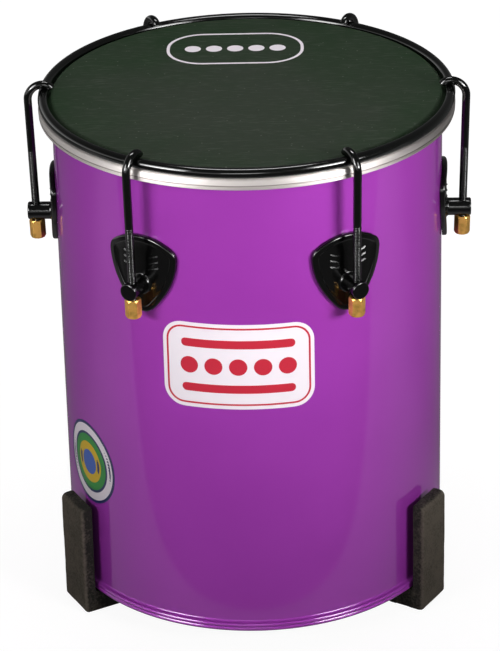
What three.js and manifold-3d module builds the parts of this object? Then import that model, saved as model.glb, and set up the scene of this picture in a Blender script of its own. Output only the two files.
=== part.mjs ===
// A hand-tuned surdo: a lacquered sheet-metal shell with one head, six hook rods and three foam feet.
// Millimetres, Z up. The origin is on the drum's axis, at the floor.
import * as THREE from 'three';
import { mergeVertices } from 'three/addons/utils/BufferGeometryUtils.js';
import Module from 'manifold-3d';

// How many there are, and how they stand round the drum
const lugCount = 6;
const footCount = 3;
const lugTurn = THREE.MathUtils.degToRad(-1);
const footTurn = lugTurn - Math.PI / lugCount;

// Clearance between pieces that rest on each other, and the overrun of every cutter
const clearance = 0.3;
const overrun = 2;

// Shell: one rolled sheet with a turned-in bearing edge and a rolled bead
const shellRadius = 152.4;
const shellHeight = 398;
const shellWall = 1.5;
const bearingRound = 3;
const bearingLip = 8;
const beadHeight = 7.5;
const beadProud = 3.8;
const beadInnerRound = 1;

// Head: a film that turns down over the bearing edge and into its flesh hoop
const headThickness = 0.5;
const fleshHoopGap = 1.9;
const fleshHoopHeight = 8.4;
const fleshHoopWall = 1.2;
const fleshHoopRound = 1.2;
const throatWidth = 1.8;
const throatDepth = 1.6;

// Counterhoop: a ring of round bar on the flesh hoop, and flush with its outside
const barRadius = 3.97;
const barProud = 1.9;
const barGap = 1.36;

// Tension rods: 1/4 inch bar, hooked over the counterhoop
const rodRadius = 3.175;
const hookBendRadius = 12.5;
const rodStandoff = 16.6;
const rodHoleSlack = 0.45;
const rodHoleFlare = 0.9;
const rodHoleFlareDepth = 1.1;

// Hexagon nuts
const hexagonSides = 6;
const nutAcrossFlats = 11.11;
const nutLength = 15;
const nutBoreSlack = 0.35;
const nutChamfer = 1.1;

// Lugs: a shield-shaped plate bent to the shell, with a round post
const postDrop = 101.5;
const postRadius = 7;
const postOverhang = 6.6;
const postEndRound = 1.2;
const postFillet = 2;
const plateTop = 39.5;
const plateBottom = 23.8;
const plateHalfWidth = 28.9;
const plateThickness = 4;
const plateEdge = 2.3;
const plateRimWidth = 2.6;
const plateRimRise = 0.7;

// Lug screws and washers, driven from inside the shell
const screwRadius = 2.5;
const screwHoleSlack = 0.4;
const screwDepth = 2.3;
const screwTipGap = 0.4;
const screwHeadRadius = 4.6;
const screwHeadHeight = 3;
const screwHeadRound = 1.6;
const upperScrewRise = 25;
const lowerScrewDrop = 14.5;
const washerRadius = 6;
const washerThickness = 1;

// Feet: foam blocks, slotted for the shell's edge, which leaves its slot open beside the bead
const rimLift = 18;
const footHeight = 96;
const footWidth = 36;
const footCheek = 11;
const footSlotSlack = 1.3;
const footInnerCheek = 18;
const footRound = 4;
const footEdgeRound = 1.5;

// How finely round forms are cut
const drumFacets = 54;
const barFacets = 10;
const rodFacets = 10;
const postFacets = 12;
const nutFacets = 12;
const fastenerFacets = 8;
const roundSteps = 2;
const outlineSteps = 3;
const curlSteps = 3;
const bendSteps = 5;

// Places that follow from the sizes above
const rimZ = rimLift;
const bearingZ = rimZ + shellHeight;
const shellInside = shellRadius - shellWall;
const shellFlatInside = shellInside * Math.cos(Math.PI / drumFacets);
const headTop = bearingZ + clearance + headThickness;
const barZ = headTop + barProud - barRadius;
const barRing = shellRadius + clearance + headThickness + barGap + barRadius;
const fleshTop = barZ - barRadius - clearance;
const fleshBottom = fleshTop - fleshHoopHeight;
const fleshInside = shellRadius + fleshHoopGap;
const fleshOutside = barRing + barRadius;
const throatZ = fleshTop - throatDepth;
const hookInside = barRadius + clearance;
const hookRadius = hookInside + rodRadius;
const hookTop = barZ + hookRadius;
const hookEndAngle = Math.PI - Math.asin((headTop + clearance - barZ) / hookInside);
const bendZ = hookTop - hookBendRadius;
const shankTop = barRing + hookBendRadius;
const postZ = bearingZ - postDrop;
const shankAtPost = shellRadius + rodStandoff;
const lean = Math.atan((shankTop - shankAtPost) / (bendZ - postZ));
const nutTop = postRadius + clearance;
const lugSeat = shellRadius + clearance;
const postEnd = shankAtPost + postOverhang;
const slotOutside = shellRadius + beadProud + footSlotSlack;
const footOutside = slotOutside + footCheek;

const wasm = await Module();
wasm.setup();

const lacquer = new THREE.MeshStandardMaterial({ color: 0x8a3398, roughness: 0.18, metalness: 0.1 });
const film = new THREE.MeshStandardMaterial({ color: 0x20292a, roughness: 0.62, metalness: 0 });
const aluminium = new THREE.MeshStandardMaterial({ color: 0xc3c2c0, roughness: 0.32, metalness: 0.9 });
const blackPaint = new THREE.MeshStandardMaterial({ color: 0x0b0c0b, roughness: 0.16, metalness: 0.1 });
const blackCasting = new THREE.MeshStandardMaterial({ color: 0x0c0c0c, roughness: 0.22, metalness: 0.1 });
const brass = new THREE.MeshStandardMaterial({ color: 0xb08a3c, roughness: 0.24, metalness: 1 });
const zinc = new THREE.MeshStandardMaterial({ color: 0xb4b6b8, roughness: 0.35, metalness: 1 });
const foam = new THREE.MeshStandardMaterial({ color: 0x33322f, roughness: 0.9, metalness: 0 });

// Twice the signed area of a profile, and six times the signed volume of a mesh
function windingOf(points) {
  let sum = 0;
  points.forEach((p, i) => {
    const q = points[(i + 1) % points.length];
    sum += p.x * q.y - q.x * p.y;
  });
  return sum;
}

function volumeOf(positions, triangles) {
  let sum = 0;
  const corner = (i) => new THREE.Vector3().fromArray(positions, 3 * triangles[i]);
  for (let i = 0; i < triangles.length; i += 3) {
    sum += corner(i).dot(corner(i + 1).cross(corner(i + 2)));
  }
  return sum;
}

// A closed mesh becomes a solid, with its shared corners joined and its faces pointing out
function solidOf(geometry) {
  const bare = geometry.clone();
  bare.deleteAttribute('normal');
  bare.deleteAttribute('uv');
  const joined = mergeVertices(bare);
  const positions = joined.attributes.position.array;
  const triangles = [];
  const index = joined.index.array;
  for (let i = 0; i < index.length; i += 3) {
    const [a, b, c] = [index[i], index[i + 1], index[i + 2]];
    if (a !== b && b !== c && c !== a) triangles.push(a, b, c);
  }
  if (volumeOf(positions, triangles) < 0) triangles.reverse();
  return new wasm.Manifold(new wasm.Mesh({
    numProp: 3,
    vertProperties: new Float32Array(positions),
    triVerts: new Uint32Array(triangles),
  }));
}

function geometryOf(solid) {
  const mesh = solid.getMesh();
  const geometry = new THREE.BufferGeometry();
  geometry.setAttribute('position', new THREE.BufferAttribute(new Float32Array(mesh.vertProperties), 3));
  geometry.setIndex([...mesh.triVerts]);
  geometry.computeVertexNormals();
  return geometry;
}

// Points along an arc in the plane of a profile, both ends included
function arc(x, y, radiusX, radiusY, from, to, steps = roundSteps) {
  const points = [];
  for (let i = 0; i <= steps; i += 1) {
    const angle = from + (to - from) * i / steps;
    points.push(new THREE.Vector2(x + radiusX * Math.cos(angle), y + radiusY * Math.sin(angle)));
  }
  return points;
}

const at = (x, y) => new THREE.Vector2(x, y);

// Revolves a profile of radius and height about Z. A profile off the axis is closed on itself.
function turned(profile, facets) {
  const points = windingOf(profile) < 0 ? [...profile].reverse() : [...profile];
  const onAxis = profile[0].x === 0 && profile[profile.length - 1].x === 0;
  if (!onAxis) points.push(points[0].clone());
  return new THREE.LatheGeometry(points, facets).rotateX(Math.PI / 2);
}

// A plain round cutter about Z, between two heights
function roundBar(radius, low, high, facets) {
  return turned([at(0, low), at(radius, low), at(radius, high), at(0, high)], facets);
}

// Lays a form that was made about Z along X, so that its height becomes a distance from the axis
const alongX = (geometry) => geometry.rotateY(Math.PI / 2);

// Joins rings of equal count into one skin, and closes each end with a fan to its middle point
function lofted(rings, firstMiddle, lastMiddle) {
  const count = rings[0].length;
  const vertices = [firstMiddle, ...rings.flat(), lastMiddle];
  const last = vertices.length - 1;
  const index = [];
  for (let i = 0; i < count; i += 1) {
    const j = (i + 1) % count;
    index.push(0, 1 + j, 1 + i);
    for (let ring = 0; ring < rings.length - 1; ring += 1) {
      const low = 1 + ring * count;
      const high = low + count;
      index.push(low + i, low + j, high + j, low + i, high + j, high + i);
    }
    const top = 1 + (rings.length - 1) * count;
    index.push(last, top + i, top + j);
  }
  const geometry = new THREE.BufferGeometry();
  const positions = vertices.flatMap((v) => [v.x, v.y, v.z]);
  geometry.setAttribute('position', new THREE.Float32BufferAttribute(positions, 3));
  geometry.setIndex(index);
  return geometry;
}

// The shell's wall, with the lip of its bearing edge at the top and its bead at the bottom
function shellGeometry() {
  const lipEnd = shellRadius - bearingLip;
  const innerRound = bearingRound - shellWall;
  const roundX = shellRadius - bearingRound;
  const roundZ = bearingZ - bearingRound;
  const beadMiddle = rimZ + beadHeight / 2;
  const profile = [
    at(shellInside, rimZ + beadInnerRound),
    at(shellInside + beadInnerRound, rimZ),
    ...arc(shellRadius, beadMiddle, beadProud, beadHeight / 2, -Math.PI / 2, Math.PI / 2, 2 * roundSteps),
    ...arc(roundX, roundZ, bearingRound, bearingRound, 0, Math.PI / 2),
    at(lipEnd, bearingZ),
    at(lipEnd, bearingZ - shellWall),
    ...arc(roundX, roundZ, innerRound, innerRound, Math.PI / 2, 0),
  ];
  let shell = solidOf(turned(profile, drumFacets));
  const cutterStart = shellInside - overrun;
  const cutterEnd = shellRadius + overrun;
  for (let i = 0; i < lugCount; i += 1) {
    for (const z of [postZ + upperScrewRise, postZ - lowerScrewDrop]) {
      const hole = alongX(roundBar(screwRadius + screwHoleSlack, cutterStart, cutterEnd, fastenerFacets));
      hole.translate(0, 0, z).rotateZ(lugAngle(i));
      shell = shell.subtract(solidOf(hole));
    }
  }
  return geometryOf(shell);
}

function lugAngle(i) {
  return lugTurn + i * 2 * Math.PI / lugCount;
}

function footAngle(i) {
  return footTurn + i * 2 * Math.PI / footCount;
}

// The film's middle line is flat, rounds the bearing edge, and runs down into the flesh hoop's throat
function drumheadGeometry() {
  const half = headThickness / 2;
  const roundX = shellRadius - bearingRound;
  const roundZ = bearingZ - bearingRound;
  const roundRadius = bearingRound + clearance + half;
  const entryX = fleshInside + fleshHoopWall + clearance + half;
  const entryZ = throatZ + clearance + half;
  const endZ = fleshBottom + fleshHoopWall + clearance;
  const toEntry = at(entryX - roundX, entryZ - roundZ);
  const leaving = toEntry.angle() - 2 * Math.PI + Math.acos(roundRadius / toEntry.length());
  const middle = arc(roundX, roundZ, roundRadius, roundRadius, Math.PI / 2, leaving);
  const outer = arc(roundX, roundZ, roundRadius + half, roundRadius + half, Math.PI / 2, leaving);
  const inner = arc(roundX, roundZ, roundRadius - half, roundRadius - half, Math.PI / 2, leaving);
  const slope = at(entryX, entryZ).sub(middle[middle.length - 1]).normalize();
  // the film bends where its sloping stretch meets its upright one, so its faces meet on the bisector
  const mitre = half * Math.tan(Math.acos(-slope.y) / 2);
  const profile = [
    at(0, headTop - headThickness),
    at(0, headTop),
    ...outer,
    at(entryX + half, entryZ + mitre),
    at(entryX + half, endZ),
    at(entryX - half, endZ),
    at(entryX - half, entryZ - mitre),
    ...inner.reverse(),
  ];
  profile.push(profile.shift());
  return geometryOf(solidOf(turned(profile, drumFacets)));
}

// A roll-formed channel, open to the film through the throat beside its top lip
function fleshHoopGeometry() {
  const round = fleshHoopRound;
  const low = fleshBottom;
  const wall = fleshHoopWall;
  const outside = fleshOutside;
  const lipEnd = fleshInside + wall + throatWidth;
  const profile = [
    at(outside - round, low),
    at(outside, low + round),
    at(outside, fleshTop - round),
    at(outside - round, fleshTop),
    at(lipEnd, fleshTop),
    at(lipEnd, fleshTop - wall),
    at(outside - wall, fleshTop - wall),
    at(outside - wall, low + wall),
    at(fleshInside + wall, low + wall),
    at(fleshInside + wall, throatZ),
    at(fleshInside, throatZ),
    at(fleshInside, low + round),
    at(fleshInside + round, low),
  ];
  return geometryOf(solidOf(turned(profile, drumFacets)));
}

function counterhoopGeometry() {
  const section = arc(barRing, barZ, barRadius, barRadius, 0, 2 * Math.PI, barFacets);
  section.pop();
  return geometryOf(solidOf(turned(section, drumFacets)));
}

// The rod's middle line: the curl over the bar, the bend outward, and the shank that leans in to its lug.
// Steps are shared out by hand, so that they fall where the line bends.
class RodLine extends THREE.Curve {
  constructor(bottom) {
    super();
    this.bottom = bottom;
    this.steps = curlSteps + bendSteps + 1;
  }

  getUtoTmapping(u) {
    return u;
  }

  getPoint(t, target = new THREE.Vector3()) {
    const step = t * this.steps;
    if (step <= curlSteps) {
      const angle = hookEndAngle + (Math.PI / 2 - hookEndAngle) * step / curlSteps;
      return target.set(barRing + hookRadius * Math.cos(angle), 0, barZ + hookRadius * Math.sin(angle));
    }
    const turn = Math.min(step - curlSteps, bendSteps) / bendSteps;
    const angle = Math.PI / 2 - (Math.PI / 2 + lean) * turn;
    const x = barRing + hookBendRadius * Math.cos(angle);
    const z = bendZ + hookBendRadius * Math.sin(angle);
    const along = Math.max(step - curlSteps - bendSteps, 0) * (z - this.bottom);
    return target.set(x - along * Math.tan(lean), 0, z - along);
  }
}

// Where the leaning shank's middle line is at a height
function shankAt(z) {
  const startX = barRing + hookBendRadius * Math.cos(lean);
  const startZ = bendZ - hookBendRadius * Math.sin(lean);
  return startX - (startZ - z) * Math.tan(lean);
}

function rodGeometry() {
  const line = new RodLine(postZ - nutTop - nutLength);
  const section = new THREE.Shape(arc(0, 0, rodRadius, rodRadius, 0, 2 * Math.PI, rodFacets).slice(1));
  return new THREE.ExtrudeGeometry(section, { steps: line.steps, extrudePath: line });
}

// A hexagon nut about Z, its top at zero, with its corners chamfered at both ends
function nutGeometry() {
  const corner = nutAcrossFlats / 2 / Math.cos(Math.PI / hexagonSides);
  const flat = nutAcrossFlats / 2;
  const boreRadius = (rodRadius + nutBoreSlack) / Math.cos(Math.PI / rodFacets);
  const hexagon = new THREE.Shape(arc(0, 0, corner, corner, 0, 2 * Math.PI, hexagonSides).slice(1));
  hexagon.holes.push(new THREE.Path(arc(0, 0, boreRadius, boreRadius, 0, 2 * Math.PI, rodFacets).slice(1)));
  const prism = new THREE.ExtrudeGeometry(hexagon, { depth: nutLength, bevelEnabled: false });
  prism.translate(0, 0, -nutLength);
  const blank = turned([
    at(0, -nutLength),
    at(flat, -nutLength),
    at(flat + nutChamfer, nutChamfer / 2 - nutLength),
    at(flat + nutChamfer, -nutChamfer / 2),
    at(flat, 0),
    at(0, 0),
  ], nutFacets);
  return geometryOf(solidOf(prism).intersect(solidOf(blank)));
}

// Half of the plate's outline, from its top to its foot, as shares of its half width and of its reach
// above and below the post
const topShares = [[0.47, 1], [0.85, 0.8]];
const cornerShares = [[0.97, 0.745], [1.01, 0.66], [1, 0.556]];
const sideShares = [[0.95, 0.03], [0.4, -0.71]];
const footShares = [[0.23, -1], [0, -1]];

// How far out from the plate's middle the ring that stiffens each face stands, as a share
const middleShare = 0.5;

function plateOutline() {
  const place = ([across, up]) => [across * plateHalfWidth, up * (up > 0 ? plateTop : plateBottom)];
  const half = new THREE.Path();
  half.moveTo(0, plateTop);
  half.quadraticCurveTo(...topShares.flatMap(place));
  half.bezierCurveTo(...cornerShares.flatMap(place));
  half.quadraticCurveTo(...sideShares.flatMap(place));
  half.quadraticCurveTo(...footShares.flatMap(place));
  const right = half.getPoints(outlineSteps);
  const left = right.slice(1, -1).reverse().map((p) => at(-p.x, p.y));
  return [...right, ...left];
}

// The same outline drawn in by an even distance
function drawnIn(outline, distance) {
  const count = outline.length;
  return outline.map((p, i) => {
    const along = outline[(i + 1) % count].clone().sub(outline[(i + count - 1) % count]).normalize();
    return at(p.x + along.y * distance, p.y - along.x * distance);
  });
}

// The plate: rings of its outline, wrapped round the shell at a height over its seat
function plateGeometry() {
  const outline = plateOutline();
  const middle = at(0, (plateTop - plateBottom) / 2);
  const wrap = (p, rise) => {
    const angle = p.x / lugSeat;
    const radius = lugSeat + rise;
    return new THREE.Vector3(radius * Math.cos(angle), radius * Math.sin(angle), postZ + p.y);
  };
  const shrunk = (points, share) => points.map((p) => middle.clone().lerp(p, share));
  const ring = (points, rise) => points.map((p) => wrap(p, rise));
  const rimTop = drawnIn(outline, plateThickness - plateEdge);
  const rimInside = drawnIn(outline, plateThickness - plateEdge + plateRimWidth);
  const field = drawnIn(outline, plateThickness - plateEdge + plateRimWidth + plateRimRise);
  const fieldRise = plateThickness - plateRimRise;
  const rings = [
    ring(shrunk(outline, middleShare), 0),
    ring(outline, 0),
    ring(outline, plateEdge),
    ring(rimTop, plateThickness),
    ring(rimInside, plateThickness),
    ring(field, fieldRise),
    ring(shrunk(field, middleShare), fieldRise),
  ];
  return lofted(rings, wrap(middle, 0), wrap(middle, fieldRise));
}

// A lug, standing at zero degrees: plate and post in one casting, bored for its rod and its two screws
function lugGeometry() {
  const root = lugSeat + plateThickness - plateRimRise;
  const post = turned([
    at(0, root - plateEdge),
    at(postRadius + postFillet, root - plateEdge),
    at(postRadius + postFillet, root),
    ...arc(postRadius + postFillet, root + postFillet, postFillet, postFillet, -Math.PI / 2, -Math.PI).slice(1),
    ...arc(postRadius - postEndRound, postEnd - postEndRound, postEndRound, postEndRound, 0, Math.PI / 2),
    at(0, postEnd),
  ], postFacets);
  const holeRadius = rodRadius + rodHoleSlack;
  const flareStart = postRadius - rodHoleFlareDepth;
  const flareEnd = postRadius + overrun;
  const flareGrowth = rodHoleFlare * (flareEnd - flareStart) / rodHoleFlareDepth;
  const rodHole = turned([
    at(0, -flareEnd),
    at(holeRadius + flareGrowth, -flareEnd),
    at(holeRadius, -flareStart),
    at(holeRadius, flareStart),
    at(holeRadius + flareGrowth, flareEnd),
    at(0, flareEnd),
  ], rodFacets);
  let lug = solidOf(plateGeometry()).add(solidOf(alongX(post).translate(0, 0, postZ)));
  lug = lug.subtract(solidOf(rodHole.rotateY(lean).translate(shankAt(postZ), 0, postZ)));
  for (const z of [postZ + upperScrewRise, postZ - lowerScrewDrop]) {
    const start = lugSeat - overrun;
    const end = lugSeat + screwDepth + screwTipGap;
    const hole = alongX(roundBar(screwRadius + screwHoleSlack, start, end, fastenerFacets));
    lug = lug.subtract(solidOf(hole.translate(0, 0, z)));
  }
  return geometryOf(lug);
}

// A washer and a pan-head screw, made along X from inside the shell outwards
const washerFace = Math.sqrt(shellFlatInside ** 2 - washerRadius ** 2) - clearance;
const headFace = washerFace - washerThickness - clearance;

function washerGeometry() {
  const bore = screwRadius + screwHoleSlack;
  const inner = washerFace - washerThickness;
  const profile = [
    at(bore, inner),
    at(washerRadius, inner),
    at(washerRadius, washerFace),
    at(bore, washerFace),
  ];
  return geometryOf(solidOf(alongX(turned(profile, fastenerFacets))));
}

function screwGeometry() {
  const headEnd = headFace - screwHeadHeight;
  const dome = arc(screwHeadRadius - screwHeadRound, headEnd + screwHeadRound,
    screwHeadRound, screwHeadRound, -Math.PI / 2, 0);
  const profile = [
    at(0, headEnd),
    ...dome,
    at(screwHeadRadius, headFace),
    at(screwRadius, headFace),
    at(screwRadius, lugSeat + screwDepth),
    at(0, lugSeat + screwDepth),
  ];
  return geometryOf(solidOf(alongX(turned(profile, fastenerFacets))));
}

// A foot, standing at zero degrees: a block with soft corners and a slot for the shell's edge
function footGeometry() {
  const slotInside = Math.sqrt(shellFlatInside ** 2 - (footWidth / 2) ** 2) - clearance;
  const inside = slotInside - footInnerCheek;
  const slotFloor = rimZ - clearance;
  const round = footRound;
  const outline = [
    ...arc(footOutside - round, round, round, round, -Math.PI / 2, 0),
    ...arc(footOutside - round, footHeight - round, round, round, 0, Math.PI / 2),
    at(slotOutside, footHeight),
    at(slotOutside, slotFloor),
    at(slotInside, slotFloor),
    at(slotInside, footHeight),
    ...arc(inside + round, footHeight - round, round, round, Math.PI / 2, Math.PI),
    ...arc(inside + round, round, round, round, Math.PI, 3 * Math.PI / 2),
  ];
  const block = new THREE.ExtrudeGeometry(new THREE.Shape(outline), {
    depth: footWidth - 2 * footEdgeRound,
    bevelThickness: footEdgeRound,
    bevelSize: footEdgeRound,
    bevelOffset: -footEdgeRound,
    bevelSegments: roundSteps,
  });
  block.translate(0, 0, footEdgeRound - footWidth / 2).rotateX(Math.PI / 2);
  return geometryOf(solidOf(block));
}

const surdo = new THREE.Group();
surdo.name = 'surdo';

function addPiece(name, geometry, material, angle = 0, parent = surdo) {
  const mesh = new THREE.Mesh(geometry, material.clone());
  mesh.name = name;
  mesh.rotation.z = angle;
  parent.add(mesh);
  return mesh;
}

addPiece('shell', shellGeometry(), lacquer);
addPiece('drumhead', drumheadGeometry(), film);
addPiece('flesh_hoop', fleshHoopGeometry(), aluminium);
addPiece('counterhoop', counterhoopGeometry(), blackPaint);

const lug = lugGeometry();
const rod = rodGeometry();
const nut = nutGeometry();
const screw = screwGeometry();
const washer = washerGeometry();
for (let i = 0; i < lugCount; i += 1) {
  const station = new THREE.Group();
  station.rotation.z = lugAngle(i);
  surdo.add(station);
  const number = i + 1;
  addPiece(`lug_${number}`, lug, blackCasting, 0, station);
  addPiece(`tension_rod_${number}`, rod, blackPaint, 0, station);
  const seat = addPiece(`tension_nut_${number}`, nut, brass, 0, station);
  seat.rotation.y = lean;
  seat.position.set(shankAt(postZ - nutTop), 0, postZ - nutTop);
  for (const [place, z] of [['upper', postZ + upperScrewRise], ['lower', postZ - lowerScrewDrop]]) {
    addPiece(`lug_screw_${number}_${place}`, screw, zinc, 0, station).position.z = z;
    addPiece(`lug_washer_${number}_${place}`, washer, zinc, 0, station).position.z = z;
  }
}

const foot = footGeometry();
for (let i = 0; i < footCount; i += 1) {
  addPiece(`foot_${i + 1}`, foot, foam, footAngle(i));
}

export default surdo;
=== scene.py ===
import math
from functools import partial
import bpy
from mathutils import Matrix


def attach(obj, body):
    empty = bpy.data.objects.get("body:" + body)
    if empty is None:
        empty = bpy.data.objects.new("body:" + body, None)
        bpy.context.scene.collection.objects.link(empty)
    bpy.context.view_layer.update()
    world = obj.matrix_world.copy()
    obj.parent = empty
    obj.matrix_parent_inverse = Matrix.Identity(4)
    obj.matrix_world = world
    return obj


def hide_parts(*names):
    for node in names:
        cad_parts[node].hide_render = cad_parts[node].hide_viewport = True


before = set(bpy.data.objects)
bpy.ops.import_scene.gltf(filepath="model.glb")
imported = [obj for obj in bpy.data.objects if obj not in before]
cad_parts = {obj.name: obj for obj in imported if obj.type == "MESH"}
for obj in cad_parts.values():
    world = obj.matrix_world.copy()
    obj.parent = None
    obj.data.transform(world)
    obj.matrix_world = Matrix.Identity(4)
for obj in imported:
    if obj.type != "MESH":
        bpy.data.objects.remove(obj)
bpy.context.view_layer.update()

from types import SimpleNamespace

import bmesh
import bpy
import numpy as np
from mathutils import Matrix, Vector, noise

bl_info = {
    "name": "Surdo",
    "version": (1, 0, 0),
    "blender": (4, 5, 0),
    "location": "View3D > Sidebar > Surdo",
    "description": "Builds a single-headed rod-tuned surdo round its packed frame, with its stage",
    "category": "Object",
}

MM = 0.001
STATIONS = 6
FEET = 3
FIRST_STATION = math.radians(-1)
FIRST_FOOT = math.radians(-31)

# Sides of every piece that is turned about the drum's axis
AROUND = 240

# Width of the slope from a plate's rim down to its field, over the rim's rise
RIM_SLOPE = 1.6

# Name of the enamel that the counterhoop and the rods share
ENAMEL = "stoved black enamel on steel"

# Where the flesh hoop's seam runs, as a share of the hoop's height
SEAM_SHARE = 0.42

# Middle of the front of the head, which is painted paler as painted light, in metres
PAINTED_LIGHT_SPOT = (0, -50 * MM, 416 * MM)

# The labels' middles: degrees round the drum for the front label and the side roundel, and millimetres
# from the axis for the print on the head
LABEL_ANGLE, ROUNDEL_ANGLE = 266.7, 211
PRINT_MIDDLE = (-9.5, 85)

# Half of a lug plate's outline, from its top to its foot, as shares of its half width and of its reach
# above and below the post
OUTLINE_SHARES = (
    [[0.47, 1], [0.85, 0.8]],
    [[0.97, 0.745], [1.01, 0.66], [1, 0.556]],
    [[0.95, 0.03], [0.4, -0.71]],
    [[0.23, -1], [0, -1]],
)

# Cross section of a bar cast on a plate: up the plate from the bar's middle line, and out of the field
RELIEF_SECTION = ((-0.65, -0.3), (-0.55, 0.7), (0.5, 0.32), (0.6, -0.3))

# Each softbox: its name, azimuth and spread in degrees, then in metres its distance from the drum's axis,
# its height, the height it aims at, its width and depth, and its watts
SOFTBOXES = (
    ("left softbox", 226, 38, 1.3, 0.68, 0.3, 0.6, 0.18, 0.6),
    ("right softbox", 317, 38, 1.3, 0.68, 0.3, 0.6, 0.18, 1.02),
    ("front softbox", 268, 38, 1.3, 0.7, 0.3, 0.5, 0.18, 0.12),
    ("top softbox", 90, 105, 0.15, 1.5, 0.42, 0.6, 0.2, 2.1),
)

# Each umbrella, a painted highlight that only reflections see and that lights nothing: its azimuth in
# degrees and its glow. Then the way to the side where the backdrop is painted pale in a reflection, and
# the strength of the fill
PAINTED_UMBRELLAS = ((223, 14.0), (319, 12.0))
PALE_SIDE = (-0.95, -0.31, 0)
FILL_LIGHT = 0.09

# The camera's lens in millimetres, its place in metres and its turns in radians: to the right, down, and
# about its own line of sight
LENS = 176.09
CAMERA_PLACE = (0.035, -2.3, 1.3591)
CAMERA_TURN = (-0.01585, 0.4631, -0.02333)


def linear(code):
    """An sRGB hex colour as linear red, green, blue and alpha."""
    parts = [int(code[i:i + 2], 16) / 255 for i in (1, 3, 5)]
    return tuple(c / 12.92 if c <= 0.04045 else ((c + 0.055) / 1.055) ** 2.4 for c in parts) + (1.0,)


def length(name, description, mm):
    """A length property whose default is in millimetres."""
    return bpy.props.FloatProperty(
        name=name, description=description, default=mm * MM, unit="LENGTH", precision=5)


def colour(name, description, code):
    """A colour property whose default is an sRGB hex code."""
    return bpy.props.FloatVectorProperty(
        name=name, description=description, default=linear(code), size=4, min=0, max=1, subtype="COLOR")


class SurdoShellSizes(bpy.types.PropertyGroup):
    """Sizes of the shell and what closes its ends."""
    shell_radius: length("Shell radius", "Outside radius of the rolled shell", 152.4)
    shell_height: length("Shell height", "From the bead's underside to the bearing edge", 398)
    shell_wall: length("Wall", "Thickness of the shell's sheet", 1.5)
    rim_lift: length("Lift", "Height of the bead over the floor, on the feet", 18)
    bearing_round: length("Bearing round", "Radius that the head runs over", 3)
    bearing_lip: length("Bearing lip", "Width of the lip turned inward at the top", 8)
    bead_height: length("Bead height", "Height of the rolled bead", 7.5)
    bead_proud: length("Bead", "How far the bead stands out of the wall", 3.8)
    bead_inner_round: length("Bead inner round", "Softening of the bead's inner lower edge", 1)
    bead_fillet: length("Bead fillet", "Hollow where the bead runs into the wall", 1.3)
    film: length("Film", "Thickness of the head", 0.5)
    clearance: length("Clearance", "Gap between pieces that lie on each other", 0.3)


class SurdoHoopSizes(bpy.types.PropertyGroup):
    """Sizes of the flesh hoop and the counterhoop."""
    flesh_gap: length("Flesh hoop gap", "Between the shell and the flesh hoop", 1.9)
    flesh_height: length("Flesh hoop height", "Height of the roll-formed channel", 8.4)
    flesh_wall: length("Flesh hoop wall", "Thickness of the channel's sheet", 1.2)
    flesh_round: length("Flesh hoop round", "Radius of the channel's outer edges", 1.5)
    throat_width: length("Throat width", "Opening that the film goes down through", 1.8)
    throat_depth: length("Throat depth", "How far the inner wall stays under the top lip", 1.6)
    bar_radius: length("Bar radius", "Radius of the counterhoop's round bar", 3.97)
    bar_proud: length("Bar height", "How far the bar's top stands over the head", 1.9)
    bar_gap: length("Bar gap", "Between the film's turned-down edge and the bar", 1.36)


class SurdoRodSizes(bpy.types.PropertyGroup):
    """Sizes of the hooked tension rods and their nuts."""
    rod_radius: length("Rod radius", "Radius of the plain rod and of its thread's crests", 3.175)
    hook_gap: length("Hook gap", "Between the counterhoop and the hook's inside", 0.13)
    hook_bend: length("Hook bend", "Radius of the rod's middle line where it turns down", 12.5)
    rod_standoff: length("Rod stand-off", "Rod's middle line to the shell, at the lug's post", 16.6)
    thread_pitch: length("Thread pitch", "Rise of the thread in one turn", 1.27)
    thread_depth: length("Thread depth", "Depth of the grooves, mostly filled with enamel", 0.19)
    thread_rise: length("Thread length", "How far the thread reaches above the post's middle", 53.5)
    rod_chamfer: length("Rod chamfer", "Softening of both cut ends", 0.6)
    nut_flats: length("Nut across flats", "Width of the hexagon", 11.11)
    nut_length: length("Nut length", "Length of the hexagon nut", 15)
    nut_slack: length("Nut bore slack", "Between the thread's crests and the nut's bore", 0.35)
    nut_chamfer: length("Nut chamfer", "Width of the chamfer that rounds the corners' ends", 1.1)
    nut_corner: length("Nut corner round", "Radius of the hexagon's drawn corners", 0.45)


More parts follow.
